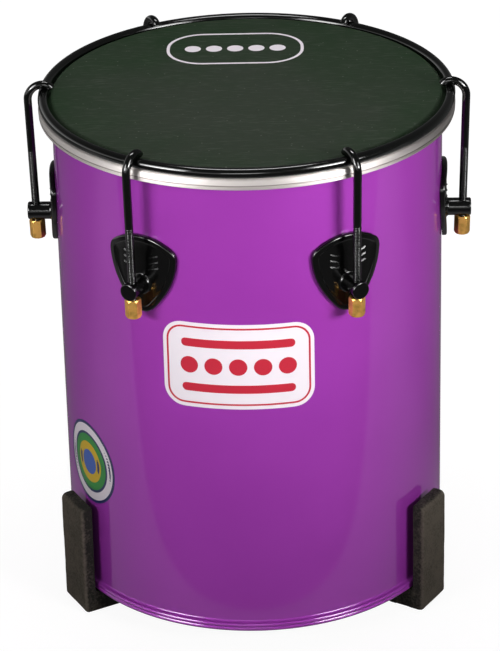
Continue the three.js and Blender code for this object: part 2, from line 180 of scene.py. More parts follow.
class SurdoLugSizes(bpy.types.PropertyGroup):
    """Sizes of the cast lugs, their screws and washers."""
    post_drop: length("Post drop", "Bearing edge to the middle of a lug's post", 101.5)
    post_radius: length("Post radius", "Radius of the round post", 7)
    post_overhang: length("Post overhang", "How far the post reaches past the rod", 6.6)
    post_round: length("Post end round", "Radius at the rim of the post's face", 1.2)
    post_fillet: length("Post fillet", "Radius at the post's root", 2)
    hole_slack: length("Hole slack", "Between the rod and its hole", 0.45)
    hole_flare: length("Hole flare", "Widening at both ends of the rod's hole", 0.9)
    hole_flare_depth: length("Flare depth", "Depth of that widening", 1.1)
    plate_top: length("Plate top", "Post's middle to the plate's top", 39.5)
    plate_bottom: length("Plate bottom", "Post's middle to the plate's foot", 23.8)
    plate_half: length("Plate half width", "Half of the plate's width, along the shell", 28.9)
    plate_thickness: length("Plate thickness", "Height of the plate's rim over its seat", 4)
    plate_edge: length("Plate edge", "Height of the plate's upright edge", 2.3)
    rim_width: length("Rim width", "Width of the raised rim", 2.6)
    rim_rise: length("Rim rise", "Height of the rim over the field", 0.45)
    screw_radius: length("Screw radius", "Radius of the screws' shank", 2.5)
    screw_slack: length("Screw slack", "Round each screw in its hole", 0.4)
    screw_depth: length("Screw depth", "How far each screw reaches into the casting", 2.3)
    screw_tip_gap: length("Screw tip gap", "Between a screw's tip and the hole's end", 0.4)
    screw_head: length("Screw head radius", "Radius of the pan head", 4.6)
    screw_head_height: length("Screw head height", "Height of the pan head", 3)
    screw_head_round: length("Screw head round", "Radius of the pan head's rim", 1.6)
    cross_half: length("Cross half length", "Reach of the cross recess from the middle", 2.2)
    cross_width: length("Cross width", "Width of the cross recess", 0.95)
    cross_depth: length("Cross depth", "Depth of the cross recess", 1.7)
    upper_screw: length("Upper screw", "Height over the post's middle", 25)
    lower_screw: length("Lower screw", "Drop under the post's middle", 14.5)
    washer_radius: length("Washer radius", "Outside radius of the washers", 6)
    washer_thickness: length("Washer thickness", "Thickness of the washers", 1)


class SurdoFootSizes(bpy.types.PropertyGroup):
    """Sizes of the slotted foam feet."""
    foot_height: length("Foot height", "Height of a foot", 96)
    foot_width: length("Foot width", "Width along the shell's edge", 36)
    foot_cheek: length("Outer cheek", "Thickness outside the bead", 11)
    foot_slot_slack: length("Slot slack", "Room beside the bead in a foot's slot", 1.3)
    foot_inner_cheek: length("Inner cheek", "Thickness inside the shell", 18)
    foot_round: length("Foot round", "Radius of the cheeks' top and bottom corners", 5)
    foot_edge: length("Foot edge", "Softening of the cut edges", 1.1)
    foot_waver: length("Foot waver", "How far the hand-cut faces waver", 0.45)


class SurdoLabelSizes(bpy.types.PropertyGroup):
    """Sizes of the generic labels and print."""
    sheet: length("Vinyl", "Thickness of the vinyl labels", 0.12)
    ink: length("Ink", "Thickness of a printed layer", 0.03)
    label_width: length("Label width", "Width of the front label round the shell", 118)
    label_height: length("Label height", "Height of the front label", 72)
    label_middle: length("Label middle", "Height of the label's middle over the floor", 251)
    label_round: length("Label round", "Corner radius of the front label", 16)
    roundel_radius: length("Roundel radius", "Radius of the side roundel", 35)
    roundel_middle: length("Roundel middle", "Height of the roundel's middle over the floor", 131)
    print_width: length("Head print width", "Width of the print on the head", 110)
    print_depth: length("Head print depth", "Depth of the print on the head", 66)


class SurdoColours(bpy.types.PropertyGroup):
    """Colours of the finishes."""
    lacquer: colour("Lacquer", "Purple lacquer where it is thick", "#9B34A8")
    lacquer_thin: colour("Lacquer, thin", "Purple lacquer where it is a little thinner", "#A33BB0")
    film: colour("Film", "Dark film of the head", "#1A301A")
    # the paler film is painted light at the front of the head, and also a random paler tone
    film_pale_and_lit: colour("Film, worn", "Film where hands have polished it", "#30372E")
    film_dust: colour("Film, dusty", "Rub marks and dust on the film", "#5A6056")
    aluminium: colour("Aluminium", "Bare rolled aluminium", "#E4DEDB")
    aluminium_dull_and_shaded: colour("Aluminium, dull", "Aluminium in the seam round the ring", "#8C827E")
    # the dull aluminium is dirt in the seam, and painted shade on the band under it
    enamel: colour("Enamel", "Black gloss enamel", "#060706")
    casting: colour("Casting", "Black enamel on the castings", "#050505")
    brass: colour("Brass", "Drawn brass", "#FFC86C")
    brass_dull: colour("Brass, dull", "Brass where it has begun to tarnish", "#D09C4A")
    zinc: colour("Zinc", "Zinc plate", "#B7BBBD")
    foam: colour("Foam", "Charcoal foam", "#1F1E1B")
    # the brown foam is dust browning in patches, and painted light on the face turned away from the drum
    foam_brown_and_lit: colour("Foam, brown", "Foam where dust and light have browned it", "#5C554C")
    white: colour("White ink", "White vinyl and ink", "#F2E9F1")
    red: colour("Red ink", "Red of the front label", "#C42B3E")
    navy: colour("Navy ink", "Navy of the roundel", "#23295A")
    green: colour("Green ink", "Green of the roundel", "#2E8B3C")
    yellow: colour("Yellow ink", "Yellow of the roundel", "#D9B31C")
    blue: colour("Blue ink", "Blue of the roundel", "#3D62B8")
    paper: colour("Floor", "Pale studio floor", "#6E6D6C")


SIZE_GROUPS = {
    "surdo_shell": SurdoShellSizes,
    "surdo_hoops": SurdoHoopSizes,
    "surdo_rods": SurdoRodSizes,
    "surdo_lugs": SurdoLugSizes,
    "surdo_feet": SurdoFootSizes,
    "surdo_labels": SurdoLabelSizes,
}
GROUPS = {**SIZE_GROUPS, "surdo_colours": SurdoColours}


def plan():
    """Every size in millimetres, and the places worked out from them."""
    p = SimpleNamespace()
    for group in SIZE_GROUPS:
        sizes = getattr(bpy.context.scene, group)
        for key in sizes.__annotations__:
            setattr(p, key, getattr(sizes, key) / MM)
    p.bearing_z = p.rim_lift + p.shell_height
    p.shell_inside = p.shell_radius - p.shell_wall
    p.head_top = p.bearing_z + p.clearance + p.film
    p.bar_z = p.head_top + p.bar_proud - p.bar_radius
    p.bar_ring = p.shell_radius + p.clearance + p.film + p.bar_gap + p.bar_radius
    p.flesh_top = p.bar_z - p.bar_radius - p.clearance
    p.flesh_bottom = p.flesh_top - p.flesh_height
    p.seam_z = p.flesh_bottom + SEAM_SHARE * p.flesh_height
    p.flesh_inside = p.shell_radius + p.flesh_gap
    p.flesh_outside = p.bar_ring + p.bar_radius
    p.throat_z = p.flesh_top - p.throat_depth
    p.hook_radius = p.bar_radius + p.hook_gap + p.rod_radius
    p.hook_end = math.pi - math.asin((p.head_top + p.clearance - p.bar_z) / (p.bar_radius + p.clearance))
    p.bend_z = p.bar_z + p.hook_radius - p.hook_bend
    p.post_z = p.bearing_z - p.post_drop
    p.screw_levels = {"upper": p.post_z + p.upper_screw, "lower": p.post_z - p.lower_screw}
    p.rod_at_post = p.shell_radius + p.rod_standoff
    p.lean = math.atan((p.bar_ring + p.hook_bend - p.rod_at_post) / (p.bend_z - p.post_z))
    p.nut_drop = p.post_radius + p.clearance
    p.seat = p.shell_radius + p.clearance
    p.post_end = p.rod_at_post + p.post_overhang
    p.slot_outside = p.shell_radius + p.bead_proud + p.foot_slot_slack
    p.foot_outside = p.slot_outside + p.foot_cheek
    p.washer_face = math.sqrt(p.shell_inside ** 2 - p.washer_radius ** 2) - p.clearance
    p.screw_head_face = p.washer_face - p.washer_thickness - p.clearance
    return p


def rod_at(p, z):
    """Distance of a rod's middle line from the drum's axis, at a height on its straight part."""
    start_x = p.bar_ring + p.hook_bend * math.cos(p.lean)
    start_z = p.bend_z - p.hook_bend * math.sin(p.lean)
    return start_x - (start_z - z) * math.tan(p.lean)


def along_rod(p, z):
    """The move that takes a shape from the origin to a rod's line at a height, with the rod's lean."""
    return Matrix.Translation((rod_at(p, z), 0, z)) @ Matrix.Rotation(p.lean, 4, "Y")


def arc(x, z, radius_x, radius_z, start, end, steps):
    """Points on an arc, its ends included; the angles are in degrees."""
    turns = np.radians(np.linspace(start, end, steps + 1))
    return [(x + radius_x * math.cos(t), z + radius_z * math.sin(t)) for t in turns]


def roll(start, radius, first, last):
    """A rolled edge from a point, while the way it faces turns from one angle to another, in degrees. It
    is flatter where it faces out and up, as a roller leaves it."""
    turn_step, flat_angle, flat_spread, flat_extra = 2, 26, 7, 3.5
    points = [start]
    for angle in range(first, last, turn_step):
        bent = radius + flat_extra * math.exp(-((angle - flat_angle) / flat_spread) ** 2)
        step = bent * math.radians(turn_step)
        x, z = points[-1]
        turn = math.radians(angle + turn_step / 2)
        points.append((x - step * math.sin(turn), z + step * math.cos(turn)))
    return points


def bezier(points, steps):
    """Points on a Bezier curve of any order, without its first."""
    found = []
    for t in np.linspace(0, 1, steps + 1)[1:]:
        row = [np.array(q, float) for q in points]
        while len(row) > 1:
            row = [a + (b - a) * t for a, b in zip(row, row[1:])]
        found.append(tuple(row[0]))
    return found


def evenly(outline, count):
    """The same closed outline with this many points, evenly spaced."""
    closed = np.vstack([outline, outline[:1]])
    run = np.concatenate([[0], np.cumsum(np.linalg.norm(np.diff(closed, axis=0), axis=1))])
    even = np.linspace(0, run[-1], count, endpoint=False)
    return np.column_stack([np.interp(even, run, closed[:, 0]), np.interp(even, run, closed[:, 1])])


def skin(rings, joined=False):
    """Points and faces between closed rings in a row. A ring of one point is a pole."""
    points, starts, faces = [], [], []
    for ring in rings:
        starts.append(len(points))
        points.extend(ring)
    pairs = list(zip(range(len(rings)), range(1, len(rings))))
    if joined:
        pairs.append((len(rings) - 1, 0))
    for a, b in pairs:
        size_a, size_b = len(rings[a]), len(rings[b])
        for i in range(max(size_a, size_b)):
            j = i + 1
            corners = (starts[a] + i % size_a, starts[a] + j % size_a,
                       starts[b] + j % size_b, starts[b] + i % size_b)
            faces.append(list(dict.fromkeys(corners)))
    return points, faces


def mesh_of(points, faces):
    """A mesh from points in millimetres, its faces turned outward."""
    mesh = bpy.data.meshes.new("shape")
    mesh.from_pydata([Vector(q) * MM for q in points], [], faces)
    work = bmesh.new()
    work.from_mesh(mesh)
    bmesh.ops.recalc_face_normals(work, faces=work.faces)
    work.to_mesh(mesh)
    work.free()
    return mesh


def turned(profile, steps, along_x=False, joined=True):
    """A mesh turned about Z, or about X, from pairs of radius and height."""
    turns = np.linspace(0, 2 * math.pi, steps, endpoint=False)
    rings = []
    for radius, height in profile:
        if radius == 0:
            ring = [(0, 0, height)]
        else:
            ring = [(radius * math.cos(t), radius * math.sin(t), height) for t in turns]
        rings.append([(z, x, y) for x, y, z in ring] if along_x else ring)
    return mesh_of(*skin(rings, joined))


def moved(mesh, matrix):
    """The same mesh, turned or shifted by a matrix in millimetres."""
    matrix = matrix.copy()
    matrix.translation *= MM
    mesh.transform(matrix)
    return mesh


def changed(mesh, kind, **settings):
    """The mesh as one of Blender's modifiers leaves it."""
    holder = bpy.data.objects.new("holder", mesh)
    bpy.context.scene.collection.objects.link(holder)
    modifier = holder.modifiers.new("change", kind)
    for key, value in settings.items():
        setattr(modifier, key, value)
    graph = bpy.context.evaluated_depsgraph_get()
    result = bpy.data.meshes.new_from_object(holder.evaluated_get(graph))
    bpy.data.objects.remove(holder)
    return result


def combined(mesh, tool, operation="DIFFERENCE"):
    """The mesh after a Boolean operation with the tool's mesh."""
    cutter = bpy.data.objects.new("cutter", tool)
    bpy.context.scene.collection.objects.link(cutter)
    result = changed(mesh, "BOOLEAN", object=cutter, operation=operation, solver="EXACT")
    bpy.data.objects.remove(cutter)
    return result


def joined_meshes(meshes):
    """Several meshes in one, which share no points."""
    work = bmesh.new()
    for mesh in meshes:
        work.from_mesh(mesh)
    result = bpy.data.meshes.new("shape")
    work.to_mesh(result)
    work.free()
    return result


def placed(name, mesh, material, body, nodes, angle=0.0, crease=32):
    """A finished piece: turned to its station, shaded, on its body, and standing for its CAD nodes."""
    mesh.transform(Matrix.Rotation(angle, 4, "Z"))
    mesh.name = name
    for polygon in mesh.polygons:
        polygon.use_smooth = True
    mesh.set_sharp_from_angle(angle=math.radians(crease))
    if material is not None:
        mesh.materials.clear()
        mesh.materials.append(material)
    piece = bpy.data.objects.new(name, mesh)
    bpy.context.scene.collection.objects.link(piece)
    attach(piece, body)
    if nodes:
        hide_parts(*nodes)
    return piece


def stations():
    """Number and angle of each lug's station."""
    return [(i + 1, FIRST_STATION + i * math.tau / STATIONS) for i in range(STATIONS)]


def add_node(tree, kind, inputs=None, **settings):
    """A shader node with its settings. An input is a value, an output, or a node for its first output."""
    node = tree.nodes.new("ShaderNode" + kind)
    for key, value in settings.items():
        setattr(node, key, value)
    for key, value in (inputs or {}).items():
        if isinstance(value, bpy.types.Node):
            value = value.outputs[0]
        if isinstance(value, bpy.types.NodeSocket):
            tree.links.new(value, node.inputs[key])
        else:
            node.inputs[key].default_value = value
    return node


def per_mm(size):
    """Scale of a pattern whose features are this many millimetres across."""
    return 1 / (size * MM)


def new_material(name, finish):
    """A material. The function given makes its finish: it takes add_node for this material, the place on
    the object and the colours, and returns the shader."""
    material = bpy.data.materials.new(name)
    material.use_nodes = True
    tree = material.node_tree
    tree.nodes.clear()
    place = add_node(tree, "TexCoord").outputs["Object"]
    shader = finish(partial(add_node, tree), place, bpy.context.scene.surdo_colours)
    add_node(tree, "OutputMaterial", {"Surface": shader})
    return material


def gloss_lacquer(add, place, tones):
    """Purple lacquer with fine metal flake, under a clear coat, on rolled aluminium sheet: it glows
    softly where the light is, and its gloss wavers with a faint orange peel."""
    cloud = add("TexNoise", {"Vector": place, "Scale": per_mm(60), "Detail": 3.0})
    tone = add("Mix", {0: cloud, 6: tones.lacquer, 7: tones.lacquer_thin}, data_type="RGBA")
    # sheet from a roll has long low waves along its length, here up the shell
    drawn = add("Mapping", {"Vector": place, "Scale": (1, 1, 0.12)})
    wave = add("TexNoise", {"Vector": drawn, "Scale": per_mm(22), "Detail": 1.0})
    long_wave = add("Bump", {"Strength": 1.0, "Distance": 0.07 * MM, "Height": wave})
    peel = add("TexNoise", {"Vector": place, "Scale": per_mm(2.6), "Detail": 1.5})
    surface = add("Bump", {"Strength": 1.0, "Distance": 0.012 * MM, "Height": peel,
                           "Normal": long_wave})
    satin = add("MapRange", {"Value": cloud, "To Min": 0.5, "To Max": 0.58})
    return add("BsdfPrincipled", {
        "Base Color": tone.outputs[2], "Metallic": 0.3, "Roughness": satin, "IOR": 1.5,
        "Specular IOR Level": 0.2, "Coat Weight": 1.0, "Coat Roughness": 0.035, "Coat IOR": 1.5,
        "Coat Normal": surface, "Normal": long_wave})


def drum_film(add, place, tones):
    """Dark polyester film with a napped coat: matt and greenish, with a fine grain like leather's,
    streaked and dusty, and painted paler towards the front as painted light."""
    cloud = add("TexNoise", {"Vector": place, "Scale": per_mm(45), "Detail": 4.0, "Roughness": 0.6})
    # the nap is about 0.2 mm, and is drawn at 0.9 mm so that it shows
    nap = add("TexNoise", {"Vector": place, "Scale": per_mm(0.9), "Detail": 2.0})
    blend = add("Math", {0: cloud, 1: nap}, operation="MULTIPLY")
    spread = add("MapRange", {"Value": blend, "From Min": 0.1, "From Max": 0.34})
    # painted light: the half of the head towards the front is painted paler, where the light falls more
    reach = add("VectorMath", {0: place, 1: PAINTED_LIGHT_SPOT}, operation="DISTANCE")
    painted_front_light = add("MapRange", {
        "Value": reach.outputs["Value"], "From Min": 40 * MM, "From Max": 170 * MM, "To Min": 1.0,
        "To Max": 0.05}, interpolation_type="SMOOTHSTEP")
    # a random paler tone, with the painted light at the front added to it
    worn = add("Math", {0: spread, 1: painted_front_light}, operation="ADD")
    pale_share = add("Math", {0: worn, 1: 0.6}, operation="MULTIPLY", use_clamp=True)
    # rubbing leaves short pale streaks across the head, and dust settles as specks
    along = add("Mapping", {"Vector": place, "Rotation": (0, 0, 0.2), "Scale": (0.12, 1, 1)})
    streak = add("TexNoise", {"Vector": along, "Scale": per_mm(1.3), "Detail": 3.0})
    rubbed = add("MapRange", {"Value": streak, "From Min": 0.54, "From Max": 0.78,
                              "To Min": 0.0, "To Max": 0.5})
    dots = add("TexVoronoi", {"Vector": place, "Scale": per_mm(8)})
    dust = add("MapRange", {"Value": dots.outputs["Distance"], "From Min": 0.06, "From Max": 0.1,
                            "To Min": 0.9, "To Max": 0.0})
    marks = add("Math", {0: rubbed, 1: dust}, operation="MAXIMUM")
    coat = add("Mix", {0: pale_share, 6: tones.film, 7: tones.film_pale_and_lit}, data_type="RGBA")
    tone = add("Mix", {0: marks, 6: coat.outputs[2], 7: tones.film_dust}, data_type="RGBA")
    surface = add("Bump", {"Strength": 0.6, "Distance": 0.06 * MM, "Height": nap})
    return add("BsdfPrincipled", {
        "Base Color": tone.outputs[2], "Roughness": 0.5, "IOR": 1.5, "Specular IOR Level": 0.1,
        "Normal": surface})


def rolled_aluminium(add, place, tones):
    """Bare aluminium channel from a rolling mill: bright, with fine scratches that run round the ring
    and draw its highlights out along it."""
    parts = add("SeparateXYZ", {0: place})
    flat = add("VectorMath", {0: place, 1: (1, 1, 0)}, operation="MULTIPLY")
    radius = add("VectorMath", {0: flat}, operation="LENGTH")
    across = add("Math", {0: radius.outputs["Value"], 1: parts.outputs["Z"]}, operation="ADD")
    # scratches are some 20 microns apart, and are drawn 0.5 mm apart so that they show
    fine = add("Math", {0: across, 1: per_mm(0.5)}, operation="MULTIPLY")
    slow_x = add("Math", {0: parts.outputs["X"], 1: per_mm(30)}, operation="MULTIPLY")
    slow_y = add("Math", {0: parts.outputs["Y"], 1: per_mm(30)}, operation="MULTIPLY")
    lines = add("CombineXYZ", {0: slow_x, 1: slow_y, 2: fine})
    scratch = add("TexNoise", {"Vector": lines, "Scale": 1.0, "Detail": 2.0})
    rough = add("MapRange", {"Value": scratch, "To Min": 0.54, "To Max": 0.7})
    # dirt stays in the seam that the rolls left round the ring, and the band under the seam is painted a
    # little darker as painted shade
    over_seam = add("Math", {0: parts.outputs["Z"], 1: plan().seam_z * MM}, operation="SUBTRACT")
    from_seam = add("Math", {0: over_seam}, operation="ABSOLUTE")
    dirt = add("MapRange", {"Value": from_seam, "From Min": 0.3 * MM, "From Max": 0.75 * MM,
                            "To Min": 0.8, "To Max": 0.0})
    under = add("MapRange", {"Value": over_seam, "From Min": -0.1 * MM, "From Max": 0.1 * MM,
                             "To Min": 0.28, "To Max": 0.0})
    dull = add("Math", {0: dirt, 1: under}, operation="MAXIMUM")
    tone = add("Mix", {0: dull, 6: tones.aluminium, 7: tones.aluminium_dull_and_shaded}, data_type="RGBA")
    surface = add("Bump", {"Strength": 0.35, "Distance": 0.02 * MM, "Height": scratch})
    round_ring = add("Tangent", direction_type="RADIAL", axis="Z")
    return add("BsdfPrincipled", {
        "Base Color": tone.outputs[2], "Metallic": 1.0, "Roughness": rough, "Anisotropic": 0.75,
        "Anisotropic Rotation": 0.25, "Tangent": round_ring, "Normal": surface})


def black_enamel(add, place, tones):
    """Stoved black enamel on steel bar: wet-looking, with a faint ripple and a dusting of fine marks."""
    ripple = add("TexNoise", {"Vector": place, "Scale": per_mm(3), "Detail": 2.0})
    marks = add("TexNoise", {"Vector": place, "Scale": per_mm(9), "Detail": 5.0, "Roughness": 0.7})
    rough = add("MapRange", {"Value": marks, "From Min": 0.4, "From Max": 0.7,
                             "To Min": 0.07, "To Max": 0.2})
    surface = add("Bump", {"Strength": 0.5, "Distance": 0.02 * MM, "Height": ripple})
    return add("BsdfPrincipled", {
        "Base Color": tones.enamel, "Roughness": rough, "IOR": 1.52, "Normal": surface})


def enamelled_casting(add, place, tones):
    """Black enamel on a die casting: glossy, over the slight pebbling of the cast skin."""
    pebble = add("TexNoise", {"Vector": place, "Scale": per_mm(1.6), "Detail": 3.0})
    rough = add("MapRange", {"Value": pebble, "To Min": 0.1, "To Max": 0.24})
    surface = add("Bump", {"Strength": 0.6, "Distance": 0.04 * MM, "Height": pebble})
    return add("BsdfPrincipled", {
        "Base Color": tones.casting, "Roughness": rough, "IOR": 1.52, "Normal": surface})


def drawn_brass(add, place, tones):
    """Drawn brass hexagon bar: warm and bright on the flats, with lines from the die along the nut, and
    duller where it has tarnished."""
    stain = add("TexNoise", {"Vector": place, "Scale": per_mm(6), "Detail": 4.0})
    spread = add("MapRange", {"Value": stain, "From Min": 0.42, "From Max": 0.72})
    tone = add("Mix", {0: spread, 6: tones.brass, 7: tones.brass_dull}, data_type="RGBA")
    lengthwise = add("Mapping", {"Vector": place, "Scale": (1, 1, 0.05)})
    lines = add("TexNoise", {"Vector": lengthwise, "Scale": per_mm(0.5)})
    rough = add("MapRange", {"Value": lines, "To Min": 0.36, "To Max": 0.58})
    surface = add("Bump", {"Strength": 0.7, "Distance": 0.04 * MM, "Height": lines})
    return add("BsdfPrincipled", {
        "Base Color": tone.outputs[2], "Metallic": 1.0, "Roughness": rough, "Normal": surface})


def zinc_plate(add, place, tones):
    """Bright zinc plate on steel screws and washers: grey and slightly cloudy."""
    cloud = add("TexNoise", {"Vector": place, "Scale": per_mm(2.5), "Detail": 3.0})
    rough = add("MapRange", {"Value": cloud, "To Min": 0.25, "To Max": 0.45})
    return add("BsdfPrincipled", {"Base Color": tones.zinc, "Metallic": 1.0, "Roughness": rough})


def closed_cell_foam(add, place, tones):
    """Closed-cell foam cut with a knife: quite matt and charcoal, mottled by its cells, and browned in
    patches by dust; the face turned away from the drum is painted lighter as painted light."""
    patch = add("TexNoise", {"Vector": place, "Scale": per_mm(26), "Detail": 5.0, "Roughness": 0.65})
    spread = add("MapRange", {"Value": patch, "From Min": 0.38, "From Max": 0.68,
                              "To Min": -0.2, "To Max": 0.3})
    # painted light: the face turned away from the drum is painted lighter, where the lamps reach it
    flat = add("VectorMath", {0: place, 1: (1, 1, 0)}, operation="MULTIPLY")
    radius = add("VectorMath", {0: flat}, operation="LENGTH")
    outside = add("MapRange", {
        "Value": radius.outputs["Value"], "From Min": 165 * MM, "From Max": 168 * MM, "To Min": 0.12,
        "To Max": 0.9}, interpolation_type="SMOOTHSTEP")
    crumb = add("TexNoise", {"Vector": place, "Scale": per_mm(1.8), "Detail": 2.0})
    mottle = add("MapRange", {"Value": crumb, "From Min": 0.3, "From Max": 0.7,
                              "To Min": -0.28, "To Max": 0.28})
    aged_and_lit = add("Math", {0: spread, 1: outside}, operation="ADD")
    browned = add("Math", {0: aged_and_lit, 1: mottle}, operation="ADD", use_clamp=True)
    tone = add("Mix", {0: browned, 6: tones.foam, 7: tones.foam_brown_and_lit}, data_type="RGBA")
    # the cells are about 0.5 mm, and are drawn at 1.1 mm so that they show
    cells = add("TexVoronoi", {"Vector": place, "Scale": per_mm(1.1)})
    surface = add("Bump", {"Strength": 0.7, "Distance": 0.25 * MM, "Height": cells.outputs["Distance"]})
    return add("BsdfPrincipled", {
        "Base Color": tone.outputs[2], "Roughness": 0.95, "IOR": 1.45, "Specular IOR Level": 0.2,
        "Normal": surface})


def screen_ink(key):
    """Screen-printed ink on vinyl or film: satin, with the faint tooth of the mesh it went through."""
    def finish(add, place, tones):
        tooth = add("TexNoise", {"Vector": place, "Scale": per_mm(1.0), "Detail": 2.0})
        rough = add("MapRange", {"Value": tooth, "To Min": 0.3, "To Max": 0.45})
        surface = add("Bump", {"Strength": 0.3, "Distance": 0.01 * MM, "Height": tooth})
        return add("BsdfPrincipled", {
            "Base Color": getattr(tones, key), "Roughness": rough, "IOR": 1.48, "Normal": surface})
    return new_material(f"{key} screen ink", finish)


def studio_paper(add, place, tones):
    """Pale studio paper: matt, and lit by the lamps. A glow that only the camera and reflections see
    makes it up to white, so that the drum's own shadow is left on it. In reflections that glow is a
    painted reflection, with a painted shadow behind the drum."""
    far = add("VectorMath", {0: place}, operation="LENGTH")
    white = add("MapRange", {"Value": far.outputs["Value"], "From Min": 0.2, "From Max": 0.7,
                             "To Min": 0.93, "To Max": 1.0})
    rays = add("LightPath")
    seen = add("Math", {0: rays.outputs["Is Camera Ray"], 1: rays.outputs["Is Transmission Ray"]},
               operation="MAXIMUM")
    # painted reflection: in a reflection the paper glows brightly near the drum and ends a hand's width
    # in front of it, and a painted shadow dims it behind the drum
    front = add("SeparateXYZ", {0: place}).outputs["Y"]
    sheet = add("MapRange", {"Value": front, "From Min": -0.268, "From Max": -0.25,
                             "To Min": 0.05, "To Max": 0.36}, interpolation_type="SMOOTHSTEP")
    shaded = add("MapRange", {"Value": front, "From Min": -0.1, "From Max": 0.2,
                              "To Min": 1.0, "To Max": 0.25}, interpolation_type="SMOOTHSTEP")
    paper = add("Math", {0: sheet, 1: shaded}, operation="MULTIPLY")
    glossy = add("Math", {0: rays.outputs["Is Glossy Ray"], 1: paper}, operation="MULTIPLY")
    share = add("Math", {0: seen, 1: glossy}, operation="MAXIMUM")
    strength = add("Math", {0: white, 1: share}, operation="MULTIPLY")
    glow = add("Emission", {"Color": (1, 1, 1, 1), "Strength": strength})
    matt = add("BsdfDiffuse", {"Color": tones.paper})
    return add("AddShader", {0: glow, 1: matt})


class SURDO_OT_stage(bpy.types.Operator):
    """Make the floor, the soft light and the camera"""
    bl_idname = "surdo.stage"
    bl_label = "Stage"

    def execute(self, context):
        scene = context.scene
        scene.view_settings.view_transform = "Standard"
        make_world(scene)
        make_floor(scene)
        make_lamps(scene)
        make_camera(scene)
        return {"FINISHED"}


def make_world(scene):
    """Soft fill, and a white backdrop for the camera. Only reflections see the painted reflection of a
    backdrop near the horizon, paler at the left, the dim studio over it, and the painted highlights of
    two umbrellas in front, left and right, which light nothing."""
    world = bpy.data.worlds.new("studio")
    world.use_nodes = True
    world.node_tree.nodes.clear()
    add = partial(add_node, world.node_tree)
    rays = add("LightPath")
    seen = add("Math", {0: rays.outputs["Is Camera Ray"], 1: rays.outputs["Is Transmission Ray"]},
               operation="MAXIMUM")
    way = add("TexCoord").outputs["Generated"]
    height = add("SeparateXYZ", {0: way}).outputs["Z"]
    pale_side = add("VectorMath", {0: way, 1: PALE_SIDE}, operation="DOT_PRODUCT")
    painted_pale_side = add("MapRange", {
        "Value": pale_side.outputs["Value"], "From Min": -0.2, "From Max": 0.8, "To Min": 0.14,
        "To Max": 1.4}, interpolation_type="SMOOTHSTEP")
    studio = add("MapRange", {"Value": height, "From Min": 0.05, "From Max": 0.5,
                              "To Min": painted_pale_side, "To Max": 0.05}, interpolation_type="SMOOTHSTEP")
    # the umbrellas are painted highlights that only reflections see: they hang 26 degrees up, and fade
    # between 10 and 15 degrees from their middles
    level, rise = 0.9, 0.436
    for azimuth, glow in PAINTED_UMBRELLAS:
        turn = math.radians(azimuth)
        umbrella = (level * math.cos(turn), level * math.sin(turn), rise)
        near = add("VectorMath", {0: way, 1: umbrella}, operation="DOT_PRODUCT")
        bright = add("MapRange", {"Value": near.outputs["Value"], "From Min": 0.966,
                                  "From Max": 0.985, "To Min": 0.0, "To Max": glow})
        studio = add("Math", {0: studio, 1: bright}, operation="ADD")
    mirrored = add("Math", {0: rays.outputs["Is Glossy Ray"], 1: studio}, operation="MULTIPLY")
    shown = add("Math", {0: seen, 1: mirrored}, operation="MAXIMUM")
    strength = add("Math", {0: shown, 1: FILL_LIGHT}, operation="MAXIMUM")
    shader = add("Background", {"Strength": strength, "Color": (1, 1, 1, 1)})
    add("OutputWorld", {"Surface": shader})
    scene.world = world


def make_floor(scene):
    """A wide floor of studio paper."""
    half = 8
    corners = [(-half, -half, 0), (half, -half, 0), (half, half, 0), (-half, half, 0)]
    mesh = bpy.data.meshes.new("studio_floor")
    mesh.from_pydata(corners, [], [(0, 1, 2, 3)])
    mesh.materials.append(new_material("pale studio paper", studio_paper))
    floor = bpy.data.objects.new("studio_floor", mesh)
    scene.collection.objects.link(floor)


def make_lamps(scene):
    """Two narrow-beamed softboxes in front of the drum, left and right, a weak one between them, and a
    broad one overhead."""
    for name, azimuth, spread, distance, height, aim, width, depth, power in SOFTBOXES:
        light = bpy.data.lights.new(name, "AREA")
        light.shape = "RECTANGLE"
        light.size = width
        light.size_y = depth
        light.energy = power
        light.spread = math.radians(spread)
        lamp = bpy.data.objects.new(name, light)
        turn = math.radians(azimuth)
        lamp.location = (distance * math.cos(turn), distance * math.sin(turn), height)
        lamp.rotation_mode = "QUATERNION"
        lamp.rotation_quaternion = (Vector((0, 0, aim)) - lamp.location).to_track_quat("-Z", "Y")
        lamp.visible_camera = False
        scene.collection.objects.link(lamp)


def make_camera(scene):
    """The photograph's viewing angle: in front, looking down from a long lens's distance."""
    data = bpy.data.cameras.new("camera")
    data.lens = LENS
    data.sensor_width = 36
    data.clip_end = 100
    camera = bpy.data.objects.new("camera", data)
    pan, pitch, roll_angle = CAMERA_TURN
    forward = Vector((math.sin(pan) * math.cos(pitch), math.cos(pan) * math.cos(pitch), -math.sin(pitch)))
    level = Vector((math.cos(pan), -math.sin(pan), 0))
    upright = level.cross(forward)
    right = level * math.cos(roll_angle) + upright * math.sin(roll_angle)
    up = upright * math.cos(roll_angle) - level * math.sin(roll_angle)
    turn = Matrix((right, up, -forward)).transposed().to_4x4()
    camera.matrix_world = Matrix.Translation(CAMERA_PLACE) @ turn
    scene.collection.objects.link(camera)
    scene.camera = camera


